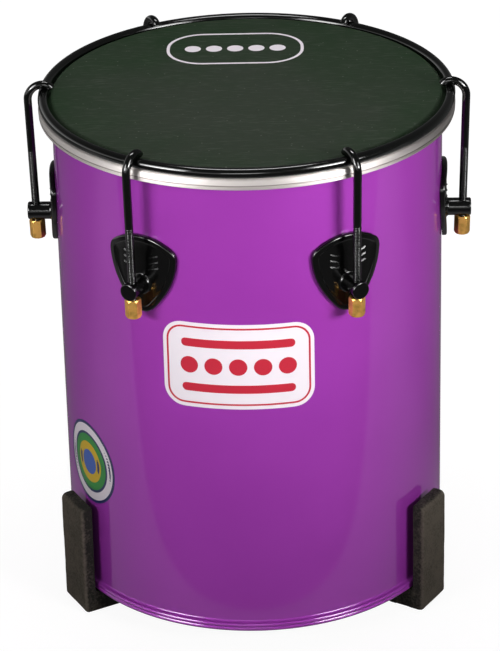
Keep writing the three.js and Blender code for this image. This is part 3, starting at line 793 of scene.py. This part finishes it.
class SURDO_OT_shell(bpy.types.Operator):
    """Make the lacquered shell with its bearing edge, bead and screw holes"""
    bl_idname = "surdo.shell"
    bl_label = "Shell"

    def execute(self, context):
        p = plan()
        inner_round = p.bearing_round - p.shell_wall
        round_x = p.shell_radius - p.bearing_round
        round_z = p.bearing_z - p.bearing_round
        # the bead is rolled twice, which leaves a shallow groove along its middle
        low_roll, high_roll = 1.55, 1.3
        groove_out, groove_up = 0.1, 0.35
        bead_top = p.rim_lift + p.bead_height
        lower = roll((p.shell_radius + p.bead_proud - low_roll, p.rim_lift), low_roll, -90, 46)
        upper = roll((lower[-1][0] + groove_out, lower[-1][1] + groove_up), high_roll, -46, 84)
        hollow = (p.shell_radius + 0.2, bead_top - 0.1)
        fillet = bezier([upper[-1], hollow, (p.shell_radius, bead_top + p.bead_fillet)], 6)[1:]
        # rings round the screw holes keep the cut faces under the lugs' plates
        hole_room = 6
        bands = [p.screw_levels["lower"] - hole_room, p.post_z, p.screw_levels["upper"] + hole_room]
        inner = p.bead_inner_round
        profile = [
            (p.shell_inside, p.rim_lift + inner),
            *arc(p.shell_inside + inner, p.rim_lift + inner, inner, inner, 180, 270, 4)[1:],
            *lower,
            *upper,
            *fillet,
            *[(p.shell_radius, z) for z in bands],
            *arc(round_x, round_z, p.bearing_round, p.bearing_round, 0, 90, 12),
            (p.shell_radius - p.bearing_lip, p.bearing_z),
            (p.shell_radius - p.bearing_lip, p.bearing_z - p.shell_wall),
            *arc(round_x, round_z, inner_round, inner_round, 90, 0, 8),
            *[(p.shell_inside, z) for z in reversed(bands)],
        ]
        overrun = 3
        holes = []
        for _, angle in stations():
            for z in p.screw_levels.values():
                hole = screw_hole(p, p.shell_inside - overrun, p.shell_radius + overrun, z)
                holes.append(moved(hole, Matrix.Rotation(angle, 4, "Z")))
        shell = combined(turned(profile, AROUND), joined_meshes(holes))
        lacquer = new_material("purple gloss lacquer on rolled aluminium", gloss_lacquer)
        placed("lacquered_shell", shell, lacquer, "drum_body", ["shell"])
        return {"FINISHED"}


class SURDO_OT_drumhead(bpy.types.Operator):
    """Make the film head with its turned-down edge"""
    bl_idname = "surdo.drumhead"
    bl_label = "Drumhead"

    def execute(self, context):
        p = plan()
        half = p.film / 2
        round_x = p.shell_radius - p.bearing_round
        round_z = p.bearing_z - p.bearing_round
        radius = p.bearing_round + p.clearance + half
        room = p.clearance + half
        entry = Vector((p.flesh_inside + p.flesh_wall + room, p.throat_z + room))
        end_z = p.flesh_bottom + p.flesh_wall + p.clearance
        to_entry = entry - Vector((round_x, round_z))
        leaving = math.degrees(math.atan2(to_entry.y, to_entry.x) + math.acos(radius / to_entry.length))
        middle = Vector(arc(round_x, round_z, radius, radius, leaving, leaving, 1)[0])
        slope = (entry - middle).normalized()
        mitre = half * math.tan(math.acos(-slope.y) / 2)
        flat = [(r, p.head_top) for r in (40, 90, 130)]
        profile = [
            (0, p.head_top),
            *flat,
            *arc(round_x, round_z, radius + half, radius + half, 90, leaving, 16),
            (entry.x + half, entry.y + mitre),
            (entry.x + half, end_z),
            (entry.x - half, end_z),
            (entry.x - half, entry.y - mitre),
            *arc(round_x, round_z, radius - half, radius - half, leaving, 90, 12),
            *[(r, p.head_top - p.film) for r, _ in reversed(flat)],
            (0, p.head_top - p.film),
        ]
        film = new_material("napped dark polyester film", drum_film)
        placed("dark_head", turned(profile, AROUND, joined=False), film, "head_and_hoop", ["drumhead"])
        return {"FINISHED"}


class SURDO_OT_hoops(bpy.types.Operator):
    """Make the aluminium flesh hoop and the black counterhoop"""
    bl_idname = "surdo.hoops"
    bl_label = "Hoops"

    def execute(self, context):
        p = plan()
        low, top, wall, edge = p.flesh_bottom, p.flesh_top, p.flesh_wall, p.flesh_round
        out = p.flesh_outside
        lip_end = p.flesh_inside + wall + p.throat_width
        inner_edge = wall / 2
        crown = 2 * edge
        # the band under the seam stands a little behind the one over it
        set_back, seam_depth, seam_floor, seam_mouth = 0.15, 0.7, 0.4, 0.5
        profile = [
            *arc(out - edge - set_back, low + edge, edge, edge, -90, 0, 8),
            (out - set_back, p.seam_z - seam_mouth),
            (out - seam_depth, p.seam_z - seam_floor),
            (out - seam_depth, p.seam_z + seam_floor),
            (out, p.seam_z + seam_mouth),
            *arc(out - edge, top - crown, edge, crown, 0, 90, 10),
            *arc(lip_end + inner_edge, top - inner_edge, inner_edge, inner_edge, 90, 270, 6),
            (out - wall, top - wall),
            (out - wall, low + wall),
            (p.flesh_inside + wall, low + wall),
            *arc(p.flesh_inside + inner_edge, p.throat_z - inner_edge, inner_edge, inner_edge, 0, 180, 6),
            *arc(p.flesh_inside + wall, low + wall, wall, wall, 180, 270, 5),
        ]
        aluminium = new_material("bare rolled aluminium", rolled_aluminium)
        placed("silver_flesh_hoop", turned(profile, AROUND), aluminium, "head_and_hoop", ["flesh_hoop"])
        section = arc(p.bar_ring, p.bar_z, p.bar_radius, p.bar_radius, 0, 360, 32)[:-1]
        enamel = new_material(ENAMEL, black_enamel)
        placed("black_counterhoop", turned(section, AROUND), enamel, "head_and_hoop", ["counterhoop"])
        return {"FINISHED"}


def rod_mesh(p):
    """A hooked rod at zero degrees: curl, bend, leaning shank and a cut thread."""
    line = [(math.cos(t), math.sin(t), p.bar_ring, p.bar_z, p.hook_radius)
            for t in np.linspace(p.hook_end, math.pi / 2, 10)]
    line += [(math.cos(t), math.sin(t), p.bar_ring, p.bend_z, p.hook_bend)
             for t in np.linspace(math.pi / 2, -p.lean, 25)[1:]]
    # each point of the track: its x and z, and the way across the rod, outward
    track = [(x + r * c, z + r * s, c, s) for c, s, x, z, r in line]
    end_z = p.post_z - p.nut_drop - p.nut_length
    thread_top = p.post_z + p.thread_rise
    rings_a_turn = 9
    count = int((thread_top - end_z) / p.thread_pitch * rings_a_turn)
    heights = [*np.linspace(track[-1][1], thread_top, 6)[1:], *np.linspace(thread_top, end_z, count)[1:]]
    c, s = math.cos(p.lean), -math.sin(p.lean)
    track += [(rod_at(p, z), z, c, s) for z in heights]
    turns = np.linspace(0, math.tau, 28, endpoint=False)
    flank = 6.2
    rings = []
    for x, z, c, s in track:
        ring = []
        for t in turns:
            radius = p.rod_radius
            if z < thread_top:
                # the crests are flat, with narrow grooves between them that start gently at the top
                phase = ((thread_top - z) / p.thread_pitch + t / math.tau) % 1
                crest = min(1.0, flank * (0.5 - abs(phase - 0.5)))
                fade = min(1.0, (thread_top - z) / (2 * p.thread_pitch))
                radius -= p.thread_depth * (1 - crest) * fade
            out = radius * math.cos(t)
            ring.append((x + out * c, radius * math.sin(t), z + out * s))
        rings.append(ring)
    # both ends are chamfered, and the rings that the lower chamfer takes up are left out
    chamfers = []
    for end, away in ((0, 1), (-1, -2)):
        ring = np.array(rings[end])
        middle = ring.mean(0)
        inward = np.array(rings[away]).mean(0) - middle
        inward /= np.linalg.norm(inward)
        lip = middle + (ring - middle) * (1 - p.rod_chamfer / p.rod_radius)
        belt = ring + inward * p.rod_chamfer * 0.8
        chamfers.append([[tuple(middle)], [tuple(q) for q in lip], [tuple(q) for q in belt]])
    kept = [ring for ring in rings[2:] if abs(np.array(ring).mean(0)[2] - middle[2]) > p.rod_chamfer]
    return mesh_of(*skin(chamfers[0] + kept + chamfers[1][::-1]))


class SURDO_OT_rods(bpy.types.Operator):
    """Make the six hooked tension rods"""
    bl_idname = "surdo.rods"
    bl_label = "Tension rods"

    def execute(self, context):
        rod = rod_mesh(plan())
        enamel = bpy.data.materials[ENAMEL]
        for number, angle in stations():
            placed(f"hook_rod_{number}", rod.copy(), enamel, f"rod_{number}", [f"tension_rod_{number}"],
                   angle, crease=50)
        return {"FINISHED"}


def nut_mesh(p):
    """A hexagon nut, its top at zero: a drawn bar with rounded corners, chamfered by a turned blank and
    bored."""
    corner = p.nut_flats / 2 / math.cos(math.pi / 6)
    inset = corner - p.nut_corner / math.cos(math.pi / 6)
    outline = []
    for i in range(6):
        x, y = inset * math.cos(i * math.pi / 3), inset * math.sin(i * math.pi / 3)
        outline += arc(x, y, p.nut_corner, p.nut_corner, i * 60 - 30, i * 60 + 30, 4)
    ends = [[(x, y, z) for x, y in outline] for z in (0, -p.nut_length)]
    prism = mesh_of(*skin([[(0, 0, 0)], *ends, [(0, 0, -p.nut_length)]]))
    flat = p.nut_flats / 2
    wide, slope = flat + p.nut_chamfer, p.nut_chamfer * 1.6
    blank = turned([(0, 0), (flat, 0), (wide, -slope), (wide, slope - p.nut_length),
                    (flat, -p.nut_length), (0, -p.nut_length)], 96, joined=False)
    bore = p.rod_radius + p.nut_slack
    overrun, sink = 1, 0.5
    mouth = bore + overrun + sink
    tool = turned([(0, overrun), (mouth, overrun), (bore, -sink), (bore, sink - p.nut_length),
                   (mouth, -overrun - p.nut_length), (0, -overrun - p.nut_length)], 48, joined=False)
    return combined(combined(prism, blank, "INTERSECT"), tool)


class SURDO_OT_nuts(bpy.types.Operator):
    """Make the six brass nuts"""
    bl_idname = "surdo.nuts"
    bl_label = "Nuts"

    def execute(self, context):
        p = plan()
        z = p.post_z - p.nut_drop
        nut = moved(nut_mesh(p), along_rod(p, z))
        brass = new_material("drawn brass", drawn_brass)
        for number, angle in stations():
            placed(f"brass_nut_{number}", nut.copy(), brass, f"nut_{number}", [f"tension_nut_{number}"],
                   angle, crease=24)
        return {"FINISHED"}


def plate_outline(p):
    """The plate's outline, evenly spaced, as distances along the shell and up from the post."""
    def spot(share):
        return share[0] * p.plate_half, share[1] * (p.plate_top if share[1] > 0 else p.plate_bottom)

    half = [(0, p.plate_top)]
    for shares in OUTLINE_SHARES:
        half += bezier([half[-1], *map(spot, shares)], 24)
    return evenly(np.array(half + [(-x, y) for x, y in half[-2:0:-1]]), 120)


def drawn_in(outline, distance):
    """The same outline drawn in by an even distance."""
    along = np.roll(outline, -1, 0) - np.roll(outline, 1, 0)
    along /= np.linalg.norm(along, axis=1)[:, None]
    return outline + np.column_stack([along[:, 1], -along[:, 0]]) * distance


def on_seat(p, points, rise):
    """Points of the plate wrapped round the shell, this far over the plate's seat."""
    radius = p.seat + rise
    return [(radius * math.cos(u / p.seat), radius * math.sin(u / p.seat), p.post_z + v)
            for u, v in points]


def plate_rings(p):
    """Rings of a lug's plate, from the middle of its seat over its edge and rim to the sunk field."""
    outline = plate_outline(p)
    centre = np.array([0, (p.plate_top - p.plate_bottom) / 2])
    side = p.plate_thickness - p.plate_edge
    rings = [on_seat(p, [centre], 0)]
    rings += [on_seat(p, centre + (outline - centre) * share, 0) for share in (0.25, 0.5, 0.75, 0.97)]
    rings += [on_seat(p, drawn_in(outline, 0.0), rise) for rise in (0.25, p.plate_edge)]
    for t in np.linspace(0, math.pi / 2, 7)[1:]:
        drawn = drawn_in(outline, side * (1 - math.cos(t)))
        rings.append(on_seat(p, drawn, p.plate_edge + side * math.sin(t)))
    rings.append(on_seat(p, drawn_in(outline, side + p.rim_width * 0.85), p.plate_thickness))
    for share in np.linspace(0, 1, 7):
        ease = share * share * (3 - 2 * share)
        drawn = drawn_in(outline, side + p.rim_width + p.rim_rise * RIM_SLOPE * share)
        rings.append(on_seat(p, drawn, p.plate_thickness - p.rim_rise * ease))
    return rings


def relief_bar(p, low_end, run, field_rise):
    """A short bar cast on the plate: wedge-shaped, with pointed ends, sunk a little into the field."""
    tip = field_rise + 0.1
    rings = [on_seat(p, [low_end - run * 0.05], tip)]
    for share in np.linspace(0, 1, 7):
        middle = low_end + run * share
        rings.append([on_seat(p, [middle + (0, v)], field_rise + rise)[0] for v, rise in RELIEF_SECTION])
    rings.append(on_seat(p, [low_end + run * 1.05], tip))
    return mesh_of(*skin(rings))


def screw_hole(p, start, end, z):
    """A cutter for a screw's hole, along X at a height."""
    bore = p.screw_radius + p.screw_slack
    tool = turned([(0, start), (bore, start), (bore, end), (0, end)], 24, along_x=True, joined=False)
    return moved(tool, Matrix.Translation((0, 0, z)))


def lug_mesh(p):
    """A lug at zero degrees: a shield plate bent to the shell, with a raised rim and a bored post."""
    field_rise = p.plate_thickness - p.rim_rise
    field_radius = p.seat + field_rise
    drawn = p.plate_thickness - p.plate_edge + p.rim_width + p.rim_rise * RIM_SLOPE
    field = drawn_in(plate_outline(p), drawn)
    root = p.post_radius + p.post_fillet
    turn = np.arctan2(field[:, 1], field[:, 0])
    post_foot = np.column_stack([np.cos(turn), np.sin(turn)]) * root
    rings = plate_rings(p)
    rings += [on_seat(p, field + (post_foot - field) * share, field_rise) for share in (0.3, 0.6, 0.85)]

    def around(radius, height):
        found = []
        for t in turn:
            y, z = radius * math.cos(t), radius * math.sin(t)
            bottom = math.sqrt(field_radius ** 2 - y ** 2) if height < p.post_fillet else field_radius
            found.append((bottom + height, y, p.post_z + z))
        return found

    # the fillet ends just short of its height, so that all of it follows the plate's curve
    short = 0.999
    for t in np.linspace(0, math.pi / 2, 8):
        height = p.post_fillet * (1 - math.cos(t)) * short
        rings.append(around(root - p.post_fillet * math.sin(t), height))
    reach = p.post_end - field_radius
    over_fillet = 0.3
    rings += [around(p.post_radius, height)
              for height in np.linspace(p.post_fillet + over_fillet, reach - p.post_round, 9)]
    for t in np.linspace(0, math.pi / 2, 6)[1:]:
        rings.append(around(p.post_radius - p.post_round * (1 - math.cos(t)),
                            reach - p.post_round * (1 - math.sin(t))))
    rings.append(around(p.post_radius * 0.5, reach))
    rings.append([(p.post_end, 0, p.post_z)])
    lug = mesh_of(*skin(rings))
    # three short bars on each side of the post: where each starts, and how far it runs outward and up
    for side in (-1, 1):
        for row in range(3):
            low_end = np.array([side * (6.5 + 0.6 * row), 13 + 5 * row])
            run = np.array([side * (8.5 - 0.8 * row), 2.6])
            lug = joined_meshes([lug, relief_bar(p, low_end, run, field_rise)])

    hole = p.rod_radius + p.hole_slack
    flare_start = p.post_radius - p.hole_flare_depth
    overrun = 2
    flare_end = p.post_radius + overrun
    wide = hole + p.hole_flare * (flare_end - flare_start) / p.hole_flare_depth
    rod_hole = turned([(0, -flare_end), (wide, -flare_end), (hole, -flare_start), (hole, flare_start),
                       (wide, flare_end), (0, flare_end)], 48, joined=False)
    tools = [moved(rod_hole, along_rod(p, p.post_z))]
    for z in p.screw_levels.values():
        tools.append(screw_hole(p, p.seat - overrun, p.seat + p.screw_depth + p.screw_tip_gap, z))
    return combined(lug, joined_meshes(tools))


class SURDO_OT_lugs(bpy.types.Operator):
    """Make the six cast lugs"""
    bl_idname = "surdo.lugs"
    bl_label = "Lugs"

    def execute(self, context):
        lug = lug_mesh(plan())
        casting = new_material("black enamel on zinc die casting", enamelled_casting)
        for number, angle in stations():
            placed(f"cast_lug_{number}", lug.copy(), casting, "drum_body", [f"lug_{number}"],
                   angle)
        return {"FINISHED"}


def screw_mesh(p):
    """A pan-head screw along X at height zero, its head inside the shell, with a cross recess."""
    head_end = p.screw_head_face - p.screw_head_height
    dome = arc(p.screw_head - p.screw_head_round, head_end + p.screw_head_round,
               p.screw_head_round, p.screw_head_round, -90, 0, 8)
    tip = p.seat + p.screw_depth
    chamfer = 0.5
    profile = [
        (0, head_end), *dome, (p.screw_head, p.screw_head_face), (p.screw_radius, p.screw_head_face),
        (p.screw_radius, tip - chamfer), (p.screw_radius - chamfer, tip), (0, tip)]
    screw = turned(profile, 48, along_x=True, joined=False)
    start, end = head_end - 1, head_end + p.cross_depth
    for long_y in (True, False):
        rings = []
        for x, share in ((start, 1.0), (head_end, 1.0), (end, 0.35)):
            a, b = p.cross_half * share, p.cross_width / 2
            if not long_y:
                a, b = b, a
            rings.append([(x, a, b), (x, -a, b), (x, -a, -b), (x, a, -b)])
        screw = combined(screw, mesh_of(*skin([[(start, 0, 0)], *rings, [(end, 0, 0)]])))
    return screw


class SURDO_OT_fasteners(bpy.types.Operator):
    """Make the twelve screws and twelve washers that hold the lugs from inside the shell"""
    bl_idname = "surdo.fasteners"
    bl_label = "Screws and washers"

    def execute(self, context):
        p = plan()
        zinc = new_material("zinc plate on steel", zinc_plate)
        screw = screw_mesh(p)
        bore, inner, soft = p.screw_radius + p.screw_slack, p.washer_face - p.washer_thickness, 0.15
        washer = turned([(bore, inner), (p.washer_radius - soft, inner), (p.washer_radius, inner + soft),
                         (p.washer_radius, p.washer_face - soft), (p.washer_radius - soft, p.washer_face),
                         (bore, p.washer_face)], 48, along_x=True)
        kinds = (("pan_screw", screw, "lug_screw"), ("steel_washer", washer, "lug_washer"))
        for number, angle in stations():
            for place, z in p.screw_levels.items():
                for kind, shape, node in kinds:
                    mesh = moved(shape.copy(), Matrix.Translation((0, 0, z)))
                    placed(f"{kind}_{number}_{place}", mesh, zinc, "drum_body",
                           [f"{node}_{number}_{place}"], angle)
        return {"FINISHED"}


def foot_mesh(p, seed):
    """A foot at zero degrees: a slotted block, softened at its cut edges, whose faces waver a little."""
    half = p.foot_width / 2
    slot_room, skin_room, sole = 0.3, 0.05, 0.4
    slot_inside = math.sqrt(p.shell_inside ** 2 - half ** 2) - p.clearance - slot_room
    inside = slot_inside - p.foot_inner_cheek + slot_room
    r = p.foot_round
    outline = [
        *arc(p.foot_outside - r, r, r, r, -90, 0, 6),
        *arc(p.foot_outside - r, p.foot_height - r, r, r, 0, 90, 6),
        (p.slot_outside, p.foot_height),
        (p.slot_outside, p.rim_lift - p.clearance),
        (slot_inside, p.rim_lift - p.clearance),
        (slot_inside, p.foot_height),
        *arc(inside + r, p.foot_height - r, r, r, 90, 180, 6),
        *arc(inside + r, r, r, r, 180, 270, 6),
    ]
    work = bmesh.new()
    corners = [work.verts.new((x * MM, -half * MM, z * MM)) for x, z in outline]
    face = work.faces.new(corners)
    swept = bmesh.ops.extrude_face_region(work, geom=[face])["geom"]
    bmesh.ops.translate(work, vec=(0, p.foot_width * MM, 0),
                        verts=[g for g in swept if isinstance(g, bmesh.types.BMVert)])
    bmesh.ops.recalc_face_normals(work, faces=work.faces)
    block = bpy.data.meshes.new("foot")
    work.to_mesh(block)
    work.free()
    block = changed(block, "BEVEL", width=p.foot_edge * MM, segments=3, limit_method="ANGLE",
                    angle_limit=math.radians(60))
    block = changed(block, "REMESH", mode="VOXEL", voxel_size=1.0 * MM)
    block = changed(block, "SMOOTH", factor=0.5, iterations=2)
    count = len(block.vertices)
    points, normals = np.empty(count * 3), np.empty(count * 3)
    block.vertices.foreach_get("co", points)
    block.vertex_normals.foreach_get("vector", normals)
    points, normals = points.reshape(-1, 3), normals.reshape(-1, 3)
    # each foot has its own place in the noise, and the waves mostly draw its faces in
    shift = Vector((seed * 1.7, seed * 0.9, seed * 2.3))
    for i in range(count):
        spot = Vector(points[i])
        broad = noise.noise(spot * per_mm(28) + shift)
        small = noise.noise(spot * per_mm(7) + shift)
        points[i] += normals[i] * (broad * 0.8 + small * 0.25 - 0.35) * p.foot_waver * MM
    low = np.array([inside + skin_room, -half + skin_room, 0]) * MM
    high = np.array([p.foot_outside - skin_room, half - skin_room, p.foot_height - skin_room]) * MM
    points = np.clip(points, low, high)
    # the foot stands flat on the floor
    points[:, 2] = np.where(points[:, 2] < sole * MM, 0, points[:, 2])
    block.vertices.foreach_set("co", points.ravel())
    block.update()
    return block


class SURDO_OT_feet(bpy.types.Operator):
    """Make the three foam feet"""
    bl_idname = "surdo.feet"
    bl_label = "Feet"

    def execute(self, context):
        p = plan()
        foam = new_material("knife-cut closed-cell foam", closed_cell_foam)
        for i in range(FEET):
            foot = placed(f"foam_foot_{i + 1}", foot_mesh(p, i + 1), foam, "drum_body", [f"foot_{i + 1}"],
                          FIRST_FOOT + i * math.tau / FEET, crease=75)
        return {"FINISHED"}


def rounded_box(width, height, radius):
    """Outline of a rectangle with round corners, about its middle."""
    x, y = width / 2 - radius, height / 2 - radius
    corners = ((x, y, 0), (-x, y, 90), (-x, -y, 180), (x, -y, 270))
    outline = [q for cx, cy, start in corners for q in arc(cx, cy, radius, radius, start, start + 90, 10)]
    return evenly(np.array(outline), 160)


def circle(radius, steps=72):
    """Outline of a circle about its middle."""
    return np.array(arc(0, 0, radius, radius, 0, 360, steps)[:-1])


def layer(lay, outline, rise, thickness, inner=None):
    """A thin flat solid laid on a surface: a disc of its outline, or a band down to an inner outline."""
    if inner is None:
        middle = outline.mean(0)
        inward = [middle + (outline - middle) * share for share in np.linspace(0, 1, 15)[1:]]
        under = [[lay(*q, rise) for q in ring] for ring in ([middle], *inward)]
        over = [[lay(*q, rise + thickness) for q in ring] for ring in (*inward[::-1], [middle])]
        return mesh_of(*skin(under + over))
    under = [[lay(*q, rise) for q in ring] for ring in (inner, outline)]
    over = [[lay(*q, rise + thickness) for q in ring] for ring in (outline, inner)]
    return mesh_of(*skin(under + over, joined=True))


def box_band(lay, size, rise, thickness, outer, inner):
    """A layer in the form of a band inside a rounded box, between two distances from its edge."""
    width, height, corner = size
    rings = [rounded_box(width - 2 * gap, height - 2 * gap, corner - gap) for gap in (outer, inner)]
    return layer(lay, rings[0], rise, thickness, rings[1])


def row_of_dots(lay, radius, pitch, rise, thickness):
    """Five round layers in a row."""
    return [layer(lay, circle(radius, 40) + (i * pitch, 0), rise, thickness) for i in range(-2, 3)]


def printed(name, layers, body):
    """One piece from pairs of a layer's mesh and its ink."""
    inks = []
    for mesh, ink in layers:
        if ink not in inks:
            inks.append(ink)
        mesh.polygons.foreach_set("material_index", [inks.index(ink)] * len(mesh.polygons))
    whole = joined_meshes([mesh for mesh, _ in layers])
    for ink in inks:
        whole.materials.append(ink)
    return placed(name, whole, None, body, [])


def on_shell(p, middle_angle, middle_z):
    """A function that lays a point on the shell's wall, seen from outside."""
    def lay(u, v, rise):
        angle = math.radians(middle_angle) + u / p.shell_radius
        radius = p.shell_radius + rise
        return radius * math.cos(angle), radius * math.sin(angle), middle_z + v

    return lay


class SURDO_OT_labels(bpy.types.Operator):
    """Make the front label, the side roundel and the print on the head, all of plain generic shapes"""
    bl_idname = "surdo.labels"
    bl_label = "Labels"

    def execute(self, context):
        p = plan()
        inks = {key: screen_ink(key) for key in ("white", "red", "navy", "green", "yellow", "blue")}
        # a layer lies just over what is under it
        over_wall = 0.02
        over_vinyl = over_wall + p.sheet

        lay = on_shell(p, LABEL_ANGLE, p.label_middle)
        box = (p.label_width, p.label_height, p.label_round)
        bar, bar_offset, dot_radius, dot_pitch = (88, 7, 3.4), 19, 7, 19
        layers = [(layer(lay, rounded_box(*box), over_wall, p.sheet), inks["white"]),
                  (box_band(lay, box, over_vinyl, p.ink, 3, 4.5), inks["red"])]
        for v in (-bar_offset, bar_offset):
            layers.append((layer(lay, rounded_box(*bar) + (0, v), over_vinyl, p.ink), inks["red"]))
        dots = row_of_dots(lay, dot_radius, dot_pitch, over_vinyl, p.ink)
        layers += [(dot, inks["red"]) for dot in dots]
        printed("front_label", layers, "drum_body")

        lay = on_shell(p, ROUNDEL_ANGLE, p.roundel_middle)
        r = p.roundel_radius
        layers = [(layer(lay, circle(r), over_wall, p.sheet), inks["navy"])]
        for outer, inner, ink in ((0.93, 0.74, "white"), (0.68, 0.5, "green"), (0.5, 0.3, "yellow")):
            ring = layer(lay, circle(r * outer), over_vinyl, p.ink, circle(r * inner))
            layers.append((ring, inks[ink]))
        layers.append((layer(lay, circle(r * 0.3), over_vinyl, p.ink), inks["blue"]))
        printed("side_roundel", layers, "drum_body")

        def on_head(u, v, rise):
            return PRINT_MIDDLE[0] + u, PRINT_MIDDLE[1] + v, p.head_top + rise

        box = (p.print_width, p.print_depth, 30)
        dot_radius, dot_pitch = 6.5, 17
        layers = [(box_band(on_head, box, over_wall, p.ink, 0, 2.5), inks["white"])]
        dots = row_of_dots(on_head, dot_radius, dot_pitch, over_wall, p.ink)
        layers += [(dot, inks["white"]) for dot in dots]
        printed("head_print", layers, "head_and_hoop")
        return {"FINISHED"}


STEPS = (
    SURDO_OT_stage, SURDO_OT_shell, SURDO_OT_drumhead, SURDO_OT_hoops, SURDO_OT_rods, SURDO_OT_nuts,
    SURDO_OT_lugs, SURDO_OT_fasteners, SURDO_OT_feet, SURDO_OT_labels,
)


class SURDO_PT_panel(bpy.types.Panel):
    """Lists the pieces of the surdo, with their sizes and colours"""
    bl_idname = "SURDO_PT_panel"
    bl_label = "Surdo"
    bl_space_type = "VIEW_3D"
    bl_region_type = "UI"
    bl_category = "Surdo"

    def draw(self, context):
        for step in STEPS:
            self.layout.operator(step.bl_idname)
        for group in GROUPS:
            box = self.layout.box()
            sizes = getattr(context.scene, group)
            for key in sizes.__annotations__:
                box.prop(sizes, key)


CLASSES = (*GROUPS.values(), *STEPS, SURDO_PT_panel)


def register():
    """Adds the classes to Blender, and the sizes and colours to its scenes."""
    for item in CLASSES:
        bpy.utils.register_class(item)
    for name, group in GROUPS.items():
        setattr(bpy.types.Scene, name, bpy.props.PointerProperty(type=group))


def unregister():
    """Takes away what register has added."""
    for name in GROUPS:
        delattr(bpy.types.Scene, name)
    for item in reversed(CLASSES):
        bpy.utils.unregister_class(item)


def main():
    """Registers the classes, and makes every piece."""
    register()
    for step in STEPS:
        getattr(bpy.ops.surdo, step.bl_idname.split(".")[1])()


if __name__ == "__main__":
    main()
